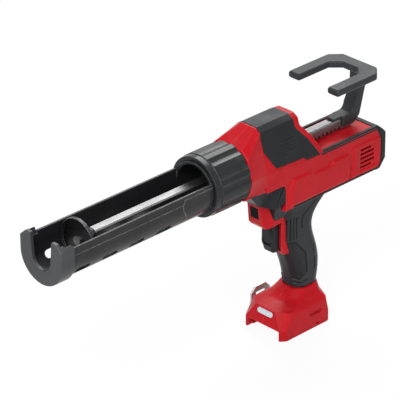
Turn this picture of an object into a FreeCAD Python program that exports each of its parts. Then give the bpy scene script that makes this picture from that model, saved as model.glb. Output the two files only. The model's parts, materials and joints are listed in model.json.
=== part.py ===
import FreeCAD, Part
import math
import os

# A cordless caulking tool, in millimetres. +X is the way it dispenses, +Y its left, +Z up.
# Shapes are drawn from the push rod's axis and the middle of the battery foot, then lifted so
# that the origin lies in the foot's base. Names ending in _z are heights from the rod's axis.

Vec = FreeCAD.Vector

# Fits
overrun = 5.0                 # how far a cutting shape runs past what it cuts
seat_gap = 0.02               # between pieces that are fixed to each other
running_gap = 0.05            # radial, between a shaft or ring and what it turns in
guide_gap = 0.1               # between the rod and the guides it slides in
free_gap = 0.3                # between moving pieces that must not touch
wall = 2.6                    # housing wall

# Stations along the tool
axis_height = 220.0           # rod axis above the foot's base
collar_rear_x = 89.0          # where the collar meets the nose
hump_front_x = 60.0
hump_top_rear_x = 2.0
hump_lip_x = 1.0              # under the upright lip at the hump's rear
hump_lip_z = 31.0
hump_waist_x = -13.5
hump_waist_z = 14.6
hump_rear_x = -26.5
body_rear_x = -116.5          # where the rear bumper starts, with its slopes above and below
body_rear_top_x = -108.5
body_rear_top_z = -23.0
body_rear_low_x = -110.0
body_rear_low_z = -51.5
tool_rear_x = -122.5

# Hump and body sections
hump_top_z = 44.5
hump_shoulder_z = 40.4
hump_top_half = 10.4
hump_shoulder_half = 17.2
hump_half = 29.0
hump_side_z = -4.0            # where the leaning sides turn upright
deck_z = -8.0
body_half = 30.0
body_chamfer_z = -58.0
body_bottom_z = -60.0
body_bottom_half = 27.0
body_front_x = 41.5           # lower front corner of the red side
body_knee_x = 32.5
body_knee_z = -29.5
body_toe_x = 31.5

# Nose
nose_radius = 35.8
nose_angles = (57.0, 38.0, 0.0, -35.0, -52.0)
nose_low_z = -18.0
nose_low_half = 25.0
nose_bottom_z = -27.0

# Chin, light block and trigger frame under the nose
chin_top_z = -21.0
chin_front_x = 85.0
chin_toe_x = 61.5
chin_toe_z = -46.5
chin_arch_x = 42.0
chin_arch_z = -55.5
chin_heel_x = 37.2
chin_heel_z = -70.5
chin_tail_x = 33.0
chin_rear_x = 18.0
chin_bottom_z = -74.8
chin_top_half = 26.0
chin_side_half = 24.5
chin_side_z = -27.0
chin_waist_half = 17.0
chin_waist_z = -46.0
chin_bottom_half = 15.3
chin_wall = 2.2
flare_half = 29.4             # the nose pad swells to meet the red sides behind it
flare_low_half = 21.0
flare_turn_z = -47.0
flare_x = 34.5
flare_front_x = 56.0
block_half = 14.5
block_front_half = 9.0
block_taper_x = 37.0          # from here the block narrows to its front
block_front_x = 53.0
block_top_z = -46.0
block_lip_x = 49.0
block_lip_z = -77.5
block_bottom_x = 45.0
block_bottom_z = -82.5
block_heel_x = 21.0
block_heel_z = -81.0
block_rear_x = 18.0
block_rear_z = -62.0
frame_half = 12.0
frame_top_x = 20.5
frame_top_z = -74.0
frame_toe_z = -114.0
frame_low_x = 16.5
frame_low_z = -124.5
frame_rear_x = 6.0

# Handle
sleeve_wall = 2.0
handle_corner = 13.0
handle_top_z = -57.0
handle_front_xs = (24.0, 21.5, 19.5, 17.5, 9.5, 2.0, -2.5)
handle_rear_xs = (-60.0, -47.0, -31.0, -31.0, -37.0, -39.5, -36.5)
handle_halves = (18.0, 16.5, 16.0, 16.5, 17.0, 17.0, 16.3)
handle_height_shares = (0.0, 0.126, 0.294, 0.445, 0.613, 0.782, 1.0)

# Foot
foot_height = 46.0
foot_half_length = 37.5
foot_half = 31.0
foot_nose_half = 26.5
foot_cut = 6.0                # length of the corner cut at the front
foot_heel_cut = 2.5
foot_skirt = 13.0             # upright part of the foot
foot_ridge = 31.0             # height of the ridge where the top starts to slope
foot_ridge_in = 4.5           # how far the ridge stands back at the front
foot_heel_in = 3.0            # and at the rear
foot_ridge_half = 29.5
foot_brow_half = 15.0         # half-width of the ridge's front
foot_brow_cut = 12.0          # how far the ridge's corners run back
foot_saddle = 36.0            # height of the hollow between the ridge and the neck
foot_saddle_share = 0.62      # of the way in from the ridge to the neck
foot_neck_front_x = 0.5
foot_neck_half = 18.5
foot_neck_rear_x = -38.5
foot_neck_flat = 8.0          # half-width of the neck's front and rear flats
foot_neck_cut = 9.0
foot_floor = 4.0
channel_height = 12.0
channel_half = 24.0
channel_rear_x = -31.0
rail_low = 1.5
rail_high = 4.5
rail_reach = 3.5
rail_end = 6.0                # rails stop this far short of the foot's ends
hook_slot_length = 19.0
hook_slot_x = -16.0
hook_slot_height = 3.6
hook_slot_rise = 17.5
hook_slot_depth = 3.0
hook_hole_radius = 1.65
hook_hole_depth = 6.0
hook_hole_rise = 3.4
hook_hole_x = -18.7

# Side details of the body
cover_proud = 0.5
cover_thick = 2.1
cover_front_shares = ((0.97, 1.0), (1.0, 0.83), (0.99, 0.45), (0.76, -0.05))
cover_band = 8.0              # width of the hump left bare behind the cover
cover_rear_low_x = -22.0
cover_low_z = -10.0
cover_step_x = 4.5
cover_step_z = -3.6
cover_step_run = 6.5
vent_pad_proud = 1.6
vent_pad_slope = 1.6          # how far the raised panel's edges lean in
pad_low_z = -55.5
vent_pad_front_x = -68.0
vent_pad_waist_x = -71.0
vent_pad_waist_z = -39.0
vent_pad_heel_x = -66.0
vent_pad_top_z = -17.8
vent_pad_corner_x = -112.5
vent_pad_rear_x = -115.0
vent_pad_rear_z = -23.5
vent_pad_rear_low_z = -51.0
vent_frame = 2.6              # from the slots to the edge of the hollow they lie in
vent_hollow = 1.1
vent_count = 5
vent_pitch = 5.2
vent_height = 2.4
vent_front_x = -83.5
vent_rear_x = -106.0
vent_top_z = -25.5
vent_short_share = 0.2
side_pad_proud = 2.4
side_pad_slope = 2.8
side_pad_front_x = 22.5
side_pad_top_z = -21.6
side_pad_dip_xs = (-5.0, -10.0, -35.0, -40.0)
side_pad_dip_z = -26.0
side_pad_rear_x = -64.5
side_pad_gap = 2.4            # groove between the side pad and the vent pad
side_pad_toe_x = 28.5
side_pad_toe_z = -33.0
trim_high = 2.2               # height of the upper side trims
trim_low = 4.0                # height of the lower side trims
trim_front_x = 20.0
trim_thick = 1.5
trim_width = 5.0
trim_rise = 1.6               # height of the upper trims above the deck
trim_slope = 2.4
bumper_proud = 0.9
bumper_wall = 3.0
bumper_cut = 4.0              # corner cut along the bumper's upper edges
tail_top_x = -114.0           # where the rear's upper and lower slopes start
tail_top_z = -17.0
tail_low_x = -112.0
tail_low_z = -47.0

# Housing screws, each on a boss between the two shells
screw_radius = 1.5
screw_head_radius = 2.9
screw_head = 2.4
screw_grip = 12.0             # length in the left shell
boss_radius = 4.6
nose_boss_x = 70.0
nose_boss_z = 27.0
hump_boss_x = 3.5
hump_boss_z = 22.5
rear_boss_in = 10.5           # from the rear end
rear_boss_drop = 19.0         # below the deck
rear_boss_rise = 14.0         # above the body's bottom
chest_boss_x = 21.0
chest_boss_z = -50.0
tang_boss_x = -36.0
tang_boss_z = -64.0
grip_boss_x = -23.0
grip_boss_share = 0.87        # of the way down the handle
leaning_seat_in = 14.0        # how deep the heads' seats lie under the hump's widest part
body_seat_in = 8.0            # under the body's side
grip_seat_in = 4.5            # under the handle's side

# Lights
lens_half = 6.0
lens_thick = 2.6
lens_start_share = 0.35
lens_end_share = 0.78
lamp_board = 1.6
window_half = 11.5
window_thick = 3.4
window_cut = 2.0              # corner cut
parallel_share = 0.99
window_low_share = 0.1
window_high_share = 0.45

# Collar, nose ring and cradle
collar_length = 50.5
collar_radius = 35.0
collar_lip = 8.0
collar_lip_step = 0.8
collar_edge = 0.8
flute_count = 13
flute_radius = 10.7
flute_depth = 1.8
flute_first_angle = 35.5
ring_radius = 31.5            # spigot that the collar closes on
ring_spigot = 14.0
ring_flange_radius = 29.0
ring_flange = 8.5
ring_web = 5.0
ring_web_back = 7.0           # web's front face behind the spigot's end
barrel_radius = 25.6          # inside of the cradle
cradle_length = 214.0         # collar front to the nozzle cap's face
cradle_radius = 28.7
cradle_rim_z = 13.8
cradle_ledge = 0.6
cradle_ledge_z = 5.0
tail_radius = 29.0
flange_radius = 31.2
tail_proud = 1.0
cradle_slot_count = 4
cradle_slot_pitch = 37.6
cradle_slot_first_x = 206.5
cradle_slot_length = 20.5
cradle_slot_width = 9.0
cradle_slot_angle = 54.0
cradle_pad_front_x = 183.0
cradle_pad_rear_x = 141.0
cradle_pad_top_z = 10.5
cradle_pad_low_z = -10.0
cradle_pad_bevel = 5.0
cap_radius = 31.35
cap_length = 18.0
cap_plate = 4.5
cap_top_z = 22.5
cap_side_z = 15.0
cap_top_half = 23.0
cap_socket = 10.0
cap_socket_radius = 27.2
cap_ramp = 4.5
nozzle_half = 14.0
nozzle_top_half = 16.5
nozzle_centre_z = -1.0

# Push rod, plunger and pull handle
rod_half = 6.0
rod_edge = 1.5
rod_front_x = 284.0
rod_rear_x = -97.0
spigot_radius = 4.0
spigot_length = 17.0
rack_front_x = 268.0
rack_module = 2.0
rack_addendum = 1.4
rack_dedendum = 2.3
pressure_angle = 20.0
plunger_radius = 24.8
plunger_plate = 1.8
plunger_rim = 2.2
plunger_rim_wall = 1.2
plunger_hub_radius = 7.5
bolt_radius = 2.5
bolt_head_radius = 5.0
bolt_head = 2.6
bolt_length = 12.0
grip_front_x = -78.0          # front of the pull handle's boss
grip_rear_x = -105.5
grip_heel_x = -98.0           # lower rear corner of the boss, and the slope behind it
grip_heel_z = 3.0
saddle_front_x = -66.0
grip_half = 8.0
grip_top_z = 9.0
grip_low_z = -3.6
riser_half = 8.0
riser_front_x = -95.3
riser_scoop = 9.0             # hollow curve between the saddle and the riser
scoop_shares = (0.0, 0.2, 0.4, 0.6, 0.8, 1.0)
riser_bend_x = -103.5
riser_bend_z = 34.0
riser_top_x = -104.5
riser_rear_x = -113.7
fork_top_z = 63.2
fork_thick = 8.4
fork_front_x = -38.5
fork_rear_x = -113.0
fork_half = 37.0
fork_inner_half = 21.0
fork_corner_x = -100.0
fork_rear_half = 25.0
fork_slot_x = -96.0
fork_slot_cut = 10.0
fork_edge = 1.6
pin_radius = 2.0
pin_xs = (-83.0, -92.0)
pin_bite = 1.0                # how far the pins reach into the boss's left wall

# Drive
pinion_teeth = 12
pinion_x = 20.0
pinion_half = 5.5
dedendum_share = 1.25
flank_shares = (0.0, 0.3, 0.65, 1.0)
tooth_play = 0.12             # thinning of each tooth on the pitch circle
pinion_addendum = 2.0
shaft_radius = 5.0
shaft_half = 21.0
gear_module = 1.25
gear_teeth = 24
lay_teeth = 12
gear_start_y = 8.0
gear_width = 6.0
lay_radius = 4.0
bevel_module = 1.0
bevel_gear_teeth = 27
bevel_pinion_teeth = 18
bevel_face_share = 0.28
bevel_play = 0.45
bevel_root_share = 1.7
bevel_hub = 3.0
bevel_hub_radius = 8.0
output_radius = 4.0
dog_length = 1.5
dog_width = 4.0
dog_radius = 7.0
dog_gap = 0.6
plate_start_y = 16.0
plate_thick = 3.0
plate_shares = ((1.0, 0.571), (1.0, 0.914), (0.889, 1.0), (0.426, 1.0), (0.185, 0.686), (0.148, 0.571),
                (0.0, 0.571), (0.0, 0.0), (0.407, 0.0), (0.57, 0.3))
plate_front_x = 72.0
plate_rear_x = -36.0
plate_top_z = 18.0
plate_low_z = -52.0
pinion_bearing_radius = 8.0
lay_bearing_radius = 7.0
bearing_width = 4.0
spacer_radius = 3.0
spacer_shares = ((0.85, 0.93), (0.47, 0.93), (0.07, 0.1))
guide_length = 14.0
guide_half_height = 11.0
rear_guide_front_x = -1.0
rear_guide_length = 10.0

# Gearbox and motor, about an axis below the rod's
drive_z = -32.5
drive_radius = 21.0
flange_rear_x = -41.0
gearbox_flange_length = 5.0
output_bearing_radius = 8.0
ring_outer_radius = 19.5
ring_length = 21.0
planet_module = 0.75
sun_teeth = 12
planet_teeth = 15
planet_count = 3
planet_width = 8.0
planet_addendum = 0.6
planet_dedendum = 0.85
planet_pin_radius = 1.8
carrier_radius = 14.0
carrier_length = 4.0
carrier_gap = 1.0
motor_plate_length = 3.5
motor_bearing_radius = 8.0
rotor_shaft_radius = 3.0
stator_length = 25.0
stator_gap = 1.2
stator_radius = 20.0
stator_yoke = 4.0
stator_poles = 6
pole_width = 6.0
pole_bore = 12.2
coil_wall = 1.6
coil_gap = 0.6                # between a coil and the yoke or bore
rotor_radius = 11.7
fan_gap = 3.5
fan_length = 7.0
fan_radius = 17.0
fan_hub_radius = 6.5
fan_disc = 1.6
fan_blades = 9
fan_blade = 1.2
rear_bearing_length = 4.0
rear_bearing_gap = 2.0
bridge_half_height = 11.0

# Trigger and switch
trigger_front_x = 33.5
trigger_top_z = -85.5
trigger_height = 35.0
trigger_half = 8.0
trigger_depth = 17.0
trigger_edge = 2.5
trigger_shares = ((0.95, 0.0), (1.0, 0.12), (0.88, 0.45), (0.9, 0.72), (0.72, 1.0), (0.0, 1.0),
                  (0.0, 0.0))
stem_half = 4.0
stem_top_z = -98.0
stem_height = 13.0
stem_length = 3.0
switch_front_x = 5.0
switch_length = 27.0
switch_half = 9.0
switch_top_z = -86.0
switch_height = 38.0
spring_radius = 3.4
spring_wire = 0.25
spring_turns = 4

# Belt hook
hook_thick = 2.5
hook_base_length = 17.0
hook_base_height = 20.0
hook_base_rise = 0.8
hook_offset = 10.0            # how far the hook stands out from its base
hook_leg = 7.5
hook_front_x = 13.5
hook_rear_x = -16.0
hook_top_rise = 31.0
hook_tip_rise = 4.0
hook_round = 7.0

# Battery terminals and control board
terminal_front_x = -10.0
terminal_length = 20.0
terminal_half = 14.0
terminal_rise = 3.5
terminal_height = 19.0
blade_count = 4
blade_pitch = 6.5
blade_thick = 0.8
blade_length = 12.0
blade_rise = 5.5
blade_height = 4.5
board_length = 32.0
board_half = 18.0
board_thick = 1.6

# Derived places
base_z = -axis_height
foot_top_z = base_z + foot_height
handle_low_z = foot_top_z - foot_floor
leaning_seat = hump_half - leaning_seat_in
body_seat = body_half - body_seat_in
grip_seat = min(handle_halves) - grip_seat_in
grip_boss_z = handle_top_z + (handle_low_z - handle_top_z) * grip_boss_share
rear_boss_x = tool_rear_x + rear_boss_in
boss_places = ((nose_boss_x, nose_boss_z, leaning_seat), (hump_boss_x, hump_boss_z, leaning_seat),
               (rear_boss_x, deck_z - rear_boss_drop, body_seat),
               (rear_boss_x, body_bottom_z + rear_boss_rise, body_seat),
               (chest_boss_x, chest_boss_z, body_seat), (tang_boss_x, tang_boss_z, grip_seat),
               (grip_boss_x, grip_boss_z, grip_seat))
nose_x = collar_rear_x - free_gap
collar_front_x = collar_rear_x + collar_length
cradle_front_x = collar_front_x + cradle_length
cap_rear_x = cradle_front_x - cap_length
collar_lip_x = collar_front_x - collar_lip
spigot_front_x = collar_rear_x + ring_spigot
rack_line_z = -rod_half + rack_addendum
pinion_radius = rack_module * pinion_teeth / 2
pinion_z = rack_line_z - pinion_radius
gear_distance = gear_module * (gear_teeth + lay_teeth) / 2
lay_drop = pinion_z - drive_z
lay_x = pinion_x - math.sqrt(gear_distance ** 2 - lay_drop ** 2)
lay_turn = math.degrees(math.asin(lay_drop / gear_distance))
bevel_gear_radius = bevel_module * bevel_gear_teeth / 2
bevel_pinion_radius = bevel_module * bevel_pinion_teeth / 2
flange_front_x = flange_rear_x + gearbox_flange_length
output_end_x = flange_rear_x - free_gap
carrier_front_x = output_end_x - 3 * dog_length - dog_gap
carrier_rear_x = carrier_front_x - carrier_length
planet_front_x = carrier_rear_x - carrier_gap
planet_rear_x = planet_front_x - planet_width
ring_rear_x = flange_rear_x - ring_length
planet_orbit = planet_module * (sun_teeth + planet_teeth) / 2
ring_teeth = sun_teeth + 2 * planet_teeth
motor_plate_rear_x = ring_rear_x - motor_plate_length
stator_front_x = motor_plate_rear_x
stator_rear_x = stator_front_x - stator_length
fan_front_x = stator_rear_x - fan_gap
fan_rear_x = fan_front_x - fan_length
bearing_front_x = fan_rear_x - rear_bearing_gap
bearing_rear_x = bearing_front_x - rear_bearing_length
front_guide_front_x = nose_x - ring_flange
front_guide_rear_x = front_guide_front_x - guide_length
trigger_rear_x = trigger_front_x - trigger_depth
stem_end_x = trigger_rear_x - stem_length


# Shape helpers

def polygon(points):
    return Part.Wire(Part.makePolygon(points + points[:1]))


def mirrored(half):
    """Closed outline, symmetric in y, from the (y, z) points of its left half."""
    return list(half) + [(-y, z) for y, z in reversed(half)]


def inset(points, gap):
    """Outline with every side moved inwards by gap."""
    count = len(points)
    area = sum(points[i - 1][0] * points[i][1] - points[i][0] * points[i - 1][1] for i in range(count))
    turn = math.copysign(1, area)
    moved = []
    for i in range(count):
        (ax, ay), (bx, by), (cx, cy) = points[i - 1], points[i], points[(i + 1) % count]
        first = math.hypot(bx - ax, by - ay)
        second = math.hypot(cx - bx, cy - by)
        n1 = (-(by - ay) / first * turn, (bx - ax) / first * turn)
        n2 = (-(cy - by) / second * turn, (cx - bx) / second * turn)
        scale = gap / (1 + n1[0] * n2[0] + n1[1] * n2[1])
        moved.append((bx + (n1[0] + n2[0]) * scale, by + (n1[1] + n2[1]) * scale))
    return moved


def side_prism(points, y0, y1):
    """Prism across the tool from (x, z) points."""
    face = Part.Face(polygon([Vec(x, y0, z) for x, z in points]))
    return face.extrude(Vec(0, y1 - y0, 0))


def cross_prism(points, x0, x1):
    """Prism along the tool from (y, z) points."""
    face = Part.Face(polygon([Vec(x0, y, z) for y, z in points]))
    return face.extrude(Vec(x1 - x0, 0, 0))


def plan_prism(points, z0, z1):
    """Upright prism from (x, y) points."""
    face = Part.Face(polygon([Vec(x, y, z0) for x, y in points]))
    return face.extrude(Vec(0, 0, z1 - z0))


def box(x0, x1, y0, y1, z0, z1):
    return plan_prism([(x0, y0), (x1, y0), (x1, y1), (x0, y1)], z0, z1)


def rod_x(radius, x0, x1, y=0, z=0):
    return Part.makeCylinder(radius, abs(x1 - x0), Vec(min(x0, x1), y, z), Vec(1, 0, 0))


def rod_y(radius, y0, y1, x, z):
    return Part.makeCylinder(radius, abs(y1 - y0), Vec(x, min(y0, y1), z), Vec(0, 1, 0))


def tube_x(outer, inner, x0, x1, y=0, z=0):
    return rod_x(outer, x0, x1, y, z).cut(rod_x(inner, x0, x1, y, z))


def joined(shapes):
    return shapes[0].multiFuse(shapes[1:]).removeSplitter()


def both_sides(shape):
    return [shape, shape.mirror(Vec(0, 0, 0), Vec(0, 1, 0))]


def spread(shares, x0, x1, z0, z1):
    """Outline in x and z from shares of a rectangle."""
    return [(x0 + (x1 - x0) * sx, z0 + (z1 - z0) * sz) for sx, sz in shares]


def trough(radius, top_z, x0, x1):
    """Half-round trough along the tool, its upright sides reaching top_z."""
    left, low, right = Vec(x0, radius, 0), Vec(x0, 0, -radius), Vec(x0, -radius, 0)
    corners = [right, Vec(x0, -radius, top_z), Vec(x0, radius, top_z), left]
    edges = [Part.Arc(left, low, right).toShape()]
    edges += [Part.makeLine(a, b) for a, b in zip(corners, corners[1:])]
    return Part.Face(Part.Wire(edges)).extrude(Vec(x1 - x0, 0, 0))


# Gears

def tooth_outline(module, teeth, addendum, dedendum, play, tooth_angle):
    """Toothed outline with one tooth centred at tooth_angle, as points about the gear's centre."""
    pitch_radius = module * teeth / 2
    pressure = math.radians(pressure_angle)
    base_radius = pitch_radius * math.cos(pressure)
    tip = pitch_radius + addendum
    root = pitch_radius - dedendum
    half = math.pi / (2 * teeth) - play / (2 * pitch_radius)
    start = max(base_radius, root)
    radii = [start + (tip - start) * share for share in flank_shares]
    if root < base_radius:
        radii = [root] + radii

    def half_angle(radius):
        angle = math.acos(min(1, base_radius / radius))
        return half + math.tan(pressure) - pressure - math.tan(angle) + angle

    points = []
    for index in range(teeth):
        centre = math.radians(tooth_angle) + 2 * math.pi * index / teeth
        flank = [(radius, half_angle(radius)) for radius in radii]
        rising = [(radius, centre - angle) for radius, angle in flank]
        falling = [(radius, centre + angle) for radius, angle in reversed(flank)]
        points += [(r * math.cos(a), r * math.sin(a)) for r, a in rising + falling]
    return points


def full_teeth(module, teeth, play, tooth_angle):
    return tooth_outline(module, teeth, module, module * dedendum_share, play, tooth_angle)


def bevel_teeth(teeth, tooth_angle):
    return tooth_outline(bevel_module, teeth, bevel_module, bevel_module * bevel_root_share, bevel_play,
                         tooth_angle)


def gear_y(points, y0, y1, x, z):
    return side_prism([(x + a, z + b) for a, b in points], y0, y1)


def gear_x(points, x0, x1, y, z):
    return cross_prism([(y + a, z + b) for a, b in points], x0, x1)


def planet_places():
    """Angle and centre of each planet gear about the drive axis."""
    places = []
    for index in range(planet_count):
        angle = 90 + 360 * index / planet_count
        turn = math.radians(angle)
        places.append((angle, planet_orbit * math.cos(turn), drive_z + planet_orbit * math.sin(turn)))
    return places


# Outer volumes of the housing, each with its sides moved inwards by gap

def hump_volume(gap):
    section = mirrored([(hump_top_half, hump_top_z), (hump_shoulder_half, hump_shoulder_z),
                        (hump_half, hump_side_z), (hump_half, nose_bottom_z)])
    side = [(hump_front_x, nose_bottom_z), (hump_front_x, hump_top_z), (hump_top_rear_x, hump_top_z),
            (hump_lip_x, hump_lip_z), (hump_waist_x, hump_waist_z), (hump_rear_x, deck_z),
            (hump_rear_x, nose_bottom_z)]
    across = cross_prism(inset(section, gap), hump_rear_x - overrun, hump_front_x + overrun)
    return across.common(side_prism(inset(side, gap), -2 * hump_half, 2 * hump_half))


def nose_volume(gap):
    front = mirrored([(nose_radius * math.cos(math.radians(a)), nose_radius * math.sin(math.radians(a)))
                      for a in nose_angles])
    rear = mirrored([(hump_top_half, hump_top_z), (hump_shoulder_half, hump_shoulder_z),
                     (hump_half, hump_side_z), (hump_half, nose_low_z), (nose_low_half, nose_bottom_z)])
    wires = [polygon([Vec(x, y, z) for y, z in inset(outline, gap)])
             for x, outline in ((hump_front_x - 2 * gap, rear), (nose_x - gap, front))]
    return Part.makeLoft(wires, True, True)


def body_section():
    return mirrored([(body_half, deck_z), (body_half, body_chamfer_z), (body_bottom_half, body_bottom_z)])


def body_volume(gap):
    side = [(hump_front_x, deck_z), (hump_front_x, chin_top_z), (body_front_x, chin_top_z),
            (body_knee_x, body_knee_z), (body_toe_x, body_bottom_z), (body_rear_low_x, body_bottom_z),
            (body_rear_x, body_rear_low_z), (body_rear_x, body_rear_top_z), (body_rear_top_x, deck_z)]
    across = cross_prism(inset(body_section(), gap), body_rear_x - overrun, hump_front_x + overrun)
    shape = across.common(side_prism(inset(side, gap), -2 * body_half, 2 * body_half))
    left = [(hump_front_x + overrun, hump_half), (hump_front_x, hump_half), (body_front_x, body_half),
            (body_rear_x - overrun, body_half)]
    plan = left + [(x, -y) for x, y in reversed(left)]
    return shape.common(plan_prism(inset(plan, gap), body_bottom_z - overrun, deck_z + overrun))


def bumper_section():
    return mirrored([(body_half - bumper_cut, deck_z), (body_half, deck_z - bumper_cut),
                     (body_half, body_chamfer_z), (body_bottom_half, body_bottom_z)])


def rear_side():
    front = body_rear_top_x + bumper_wall
    return [(front, deck_z), (tail_top_x, deck_z), (tool_rear_x, tail_top_z), (tool_rear_x, tail_low_z),
            (tail_low_x, body_bottom_z), (front, body_bottom_z)]


def tail_section(gap):
    half = body_half - bumper_wall - gap
    return mirrored([(half, deck_z - bumper_wall - gap), (half, body_bottom_z + bumper_wall + gap)])


def tail_volume(gap):
    """End of the body inside the rear bumper."""
    across = cross_prism(tail_section(gap), tool_rear_x, body_rear_top_x + overrun)
    side = inset(rear_side(), bumper_wall + gap)
    front = body_rear_top_x + overrun
    side[0] = (front, side[0][1])
    side[-1] = (front, side[-1][1])
    return across.common(side_prism(side, -body_half, body_half))


def chin_side():
    return [(chin_front_x, chin_top_z), (chin_rear_x, chin_top_z), (chin_rear_x, chin_bottom_z),
            (chin_tail_x, chin_bottom_z), (chin_heel_x, chin_heel_z), (chin_arch_x, chin_arch_z),
            (chin_toe_x, chin_toe_z)]


def chin_volume(gap):
    section = mirrored([(chin_top_half, chin_top_z), (chin_side_half, chin_side_z),
                        (chin_waist_half, chin_waist_z), (chin_bottom_half, chin_bottom_z)])
    across = cross_prism(inset(section, gap), chin_rear_x - overrun, chin_front_x + overrun)
    return across.common(side_prism(inset(chin_side(), gap), -chin_top_half, chin_top_half))


def block_side():
    return [(block_front_x, block_top_z), (block_lip_x, block_lip_z), (block_bottom_x, block_bottom_z),
            (block_heel_x, block_heel_z), (block_rear_x, block_rear_z), (block_rear_x, block_top_z)]


def block_volume(gap):
    left = [(block_rear_x, block_half), (block_taper_x, block_half), (block_front_x, block_front_half)]
    plan = left + [(x, -y) for x, y in reversed(left)]
    across = plan_prism(inset(plan, gap), block_bottom_z - overrun, block_top_z + overrun)
    return across.common(side_prism(inset(block_side(), gap), -block_half, block_half))


def frame_volume(gap):
    side = [(frame_top_x, frame_top_z), (frame_top_x, frame_toe_z), (frame_low_x, frame_low_z),
            (frame_rear_x, frame_low_z), (frame_rear_x, frame_top_z)]
    return side_prism(inset(side, gap), gap - frame_half, frame_half - gap)


def handle_section(z, front, rear, half, corner):
    """Rounded outline of the handle at height z."""
    edges = []
    cut = corner * (1 - math.sqrt(0.5))
    for sx, sy in ((1, 1), (-1, 1), (-1, -1), (1, -1)):
        x, y = front if sx > 0 else rear, sy * half
        along, across = Vec(x, y - sy * corner, z), Vec(x - sx * corner, y, z)
        middle = Vec(x - sx * cut, y - sy * cut, z)
        ends = (along, across) if sx == sy else (across, along)
        edges.append(Part.Arc(ends[0], middle, ends[1]).toShape())
    links = [Part.makeLine(a.Vertexes[-1].Point, b.Vertexes[0].Point)
             for a, b in zip(edges, edges[1:] + edges[:1])]
    return Part.Wire([edge for pair in zip(edges, links) for edge in pair])


def handle_volume(gap):
    wires = []
    rows = zip(handle_height_shares, handle_front_xs, handle_rear_xs, handle_halves)
    for share, front, rear, half in rows:
        z = handle_top_z + (handle_low_z - handle_top_z) * share
        wires.append(handle_section(z, front - gap, rear + gap, half - gap, handle_corner - gap))
    return Part.makeLoft(wires, True, False)


def foot_outline(front, rear, half, front_half, rear_half, front_cut, rear_cut):
    left = [(front, front_half), (front - front_cut, half), (rear + rear_cut, half), (rear, rear_half)]
    return left + [(x, -y) for x, y in reversed(left)]


def foot_ridge_outline():
    return foot_outline(foot_half_length - foot_ridge_in, foot_heel_in - foot_half_length, foot_ridge_half,
                        foot_brow_half, foot_ridge_half - foot_heel_cut, foot_brow_cut, foot_heel_cut)


def foot_neck_outline():
    return foot_outline(foot_neck_front_x, foot_neck_rear_x, foot_neck_half, foot_neck_flat, foot_neck_flat,
                        foot_neck_cut, foot_neck_cut)


def foot_saddle_outline():
    pairs = zip(foot_ridge_outline(), foot_neck_outline())
    share = foot_saddle_share
    return [(ax + (bx - ax) * share, ay + (by - ay) * share) for (ax, ay), (bx, by) in pairs]


def foot_volume():
    low = foot_outline(foot_half_length, -foot_half_length, foot_half, foot_nose_half,
                       foot_half - foot_heel_cut, foot_cut, foot_heel_cut)
    levels = ((base_z, low), (base_z + foot_skirt, low), (base_z + foot_ridge, foot_ridge_outline()),
              (base_z + foot_saddle, foot_saddle_outline()), (foot_top_z, foot_neck_outline()))
    wires = [polygon([Vec(x, y, z) for x, y in outline]) for z, outline in levels]
    return joined([Part.makeLoft(list(pair), True, True) for pair in zip(wires, wires[1:])])


def foot_cavities():
    """Battery channel between its rails, and the room above its roof."""
    roof = base_z + channel_height
    channel = box(channel_rear_x, foot_half_length + overrun, -channel_half, channel_half,
                  base_z - overrun, roof)
    rail = box(channel_rear_x + rail_end, foot_half_length - rail_end, channel_half - rail_reach,
               channel_half + overrun, base_z + rail_low, base_z + rail_high)
    room_low = inset(foot_ridge_outline(), wall)
    room_top = inset(foot_neck_outline(), sleeve_wall + wall)
    levels = ((roof + foot_floor, room_low), (base_z + foot_ridge - wall, room_low),
              (base_z + foot_saddle - wall, inset(foot_saddle_outline(), wall)), (handle_low_z, room_top),
              (foot_top_z + wall, room_top))
    wires = [polygon([Vec(x, y, z) for x, y in outline]) for z, outline in levels]
    room = joined([Part.makeLoft(list(pair), True, True) for pair in zip(wires, wires[1:])])
    return channel.cut(joined(both_sides(rail))).fuse(room)


# Soft pieces moulded over the housing

def cover_outline():
    front = [(hump_front_x * sx, hump_top_z * sz) for sx, sz in cover_front_shares]
    top = hump_top_z + overrun
    step = [(cover_step_x, cover_step_z), (cover_step_x - cover_step_run, cover_low_z)]
    rear = [(hump_waist_x, hump_waist_z), (hump_lip_x, hump_lip_z), (hump_top_rear_x, hump_top_z),
            (hump_top_rear_x, top)]
    rear = [(cover_rear_low_x, cover_low_z)] + [(x + cover_band, z) for x, z in rear]
    return [(front[0][0], top)] + front + step + rear


def hump_cover():
    skin = hump_volume(-cover_proud).cut(hump_volume(cover_thick - cover_proud))
    skin = skin.common(side_prism(cover_outline(), -2 * hump_half, 2 * hump_half))
    return skin.cut(body_volume(0))


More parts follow.
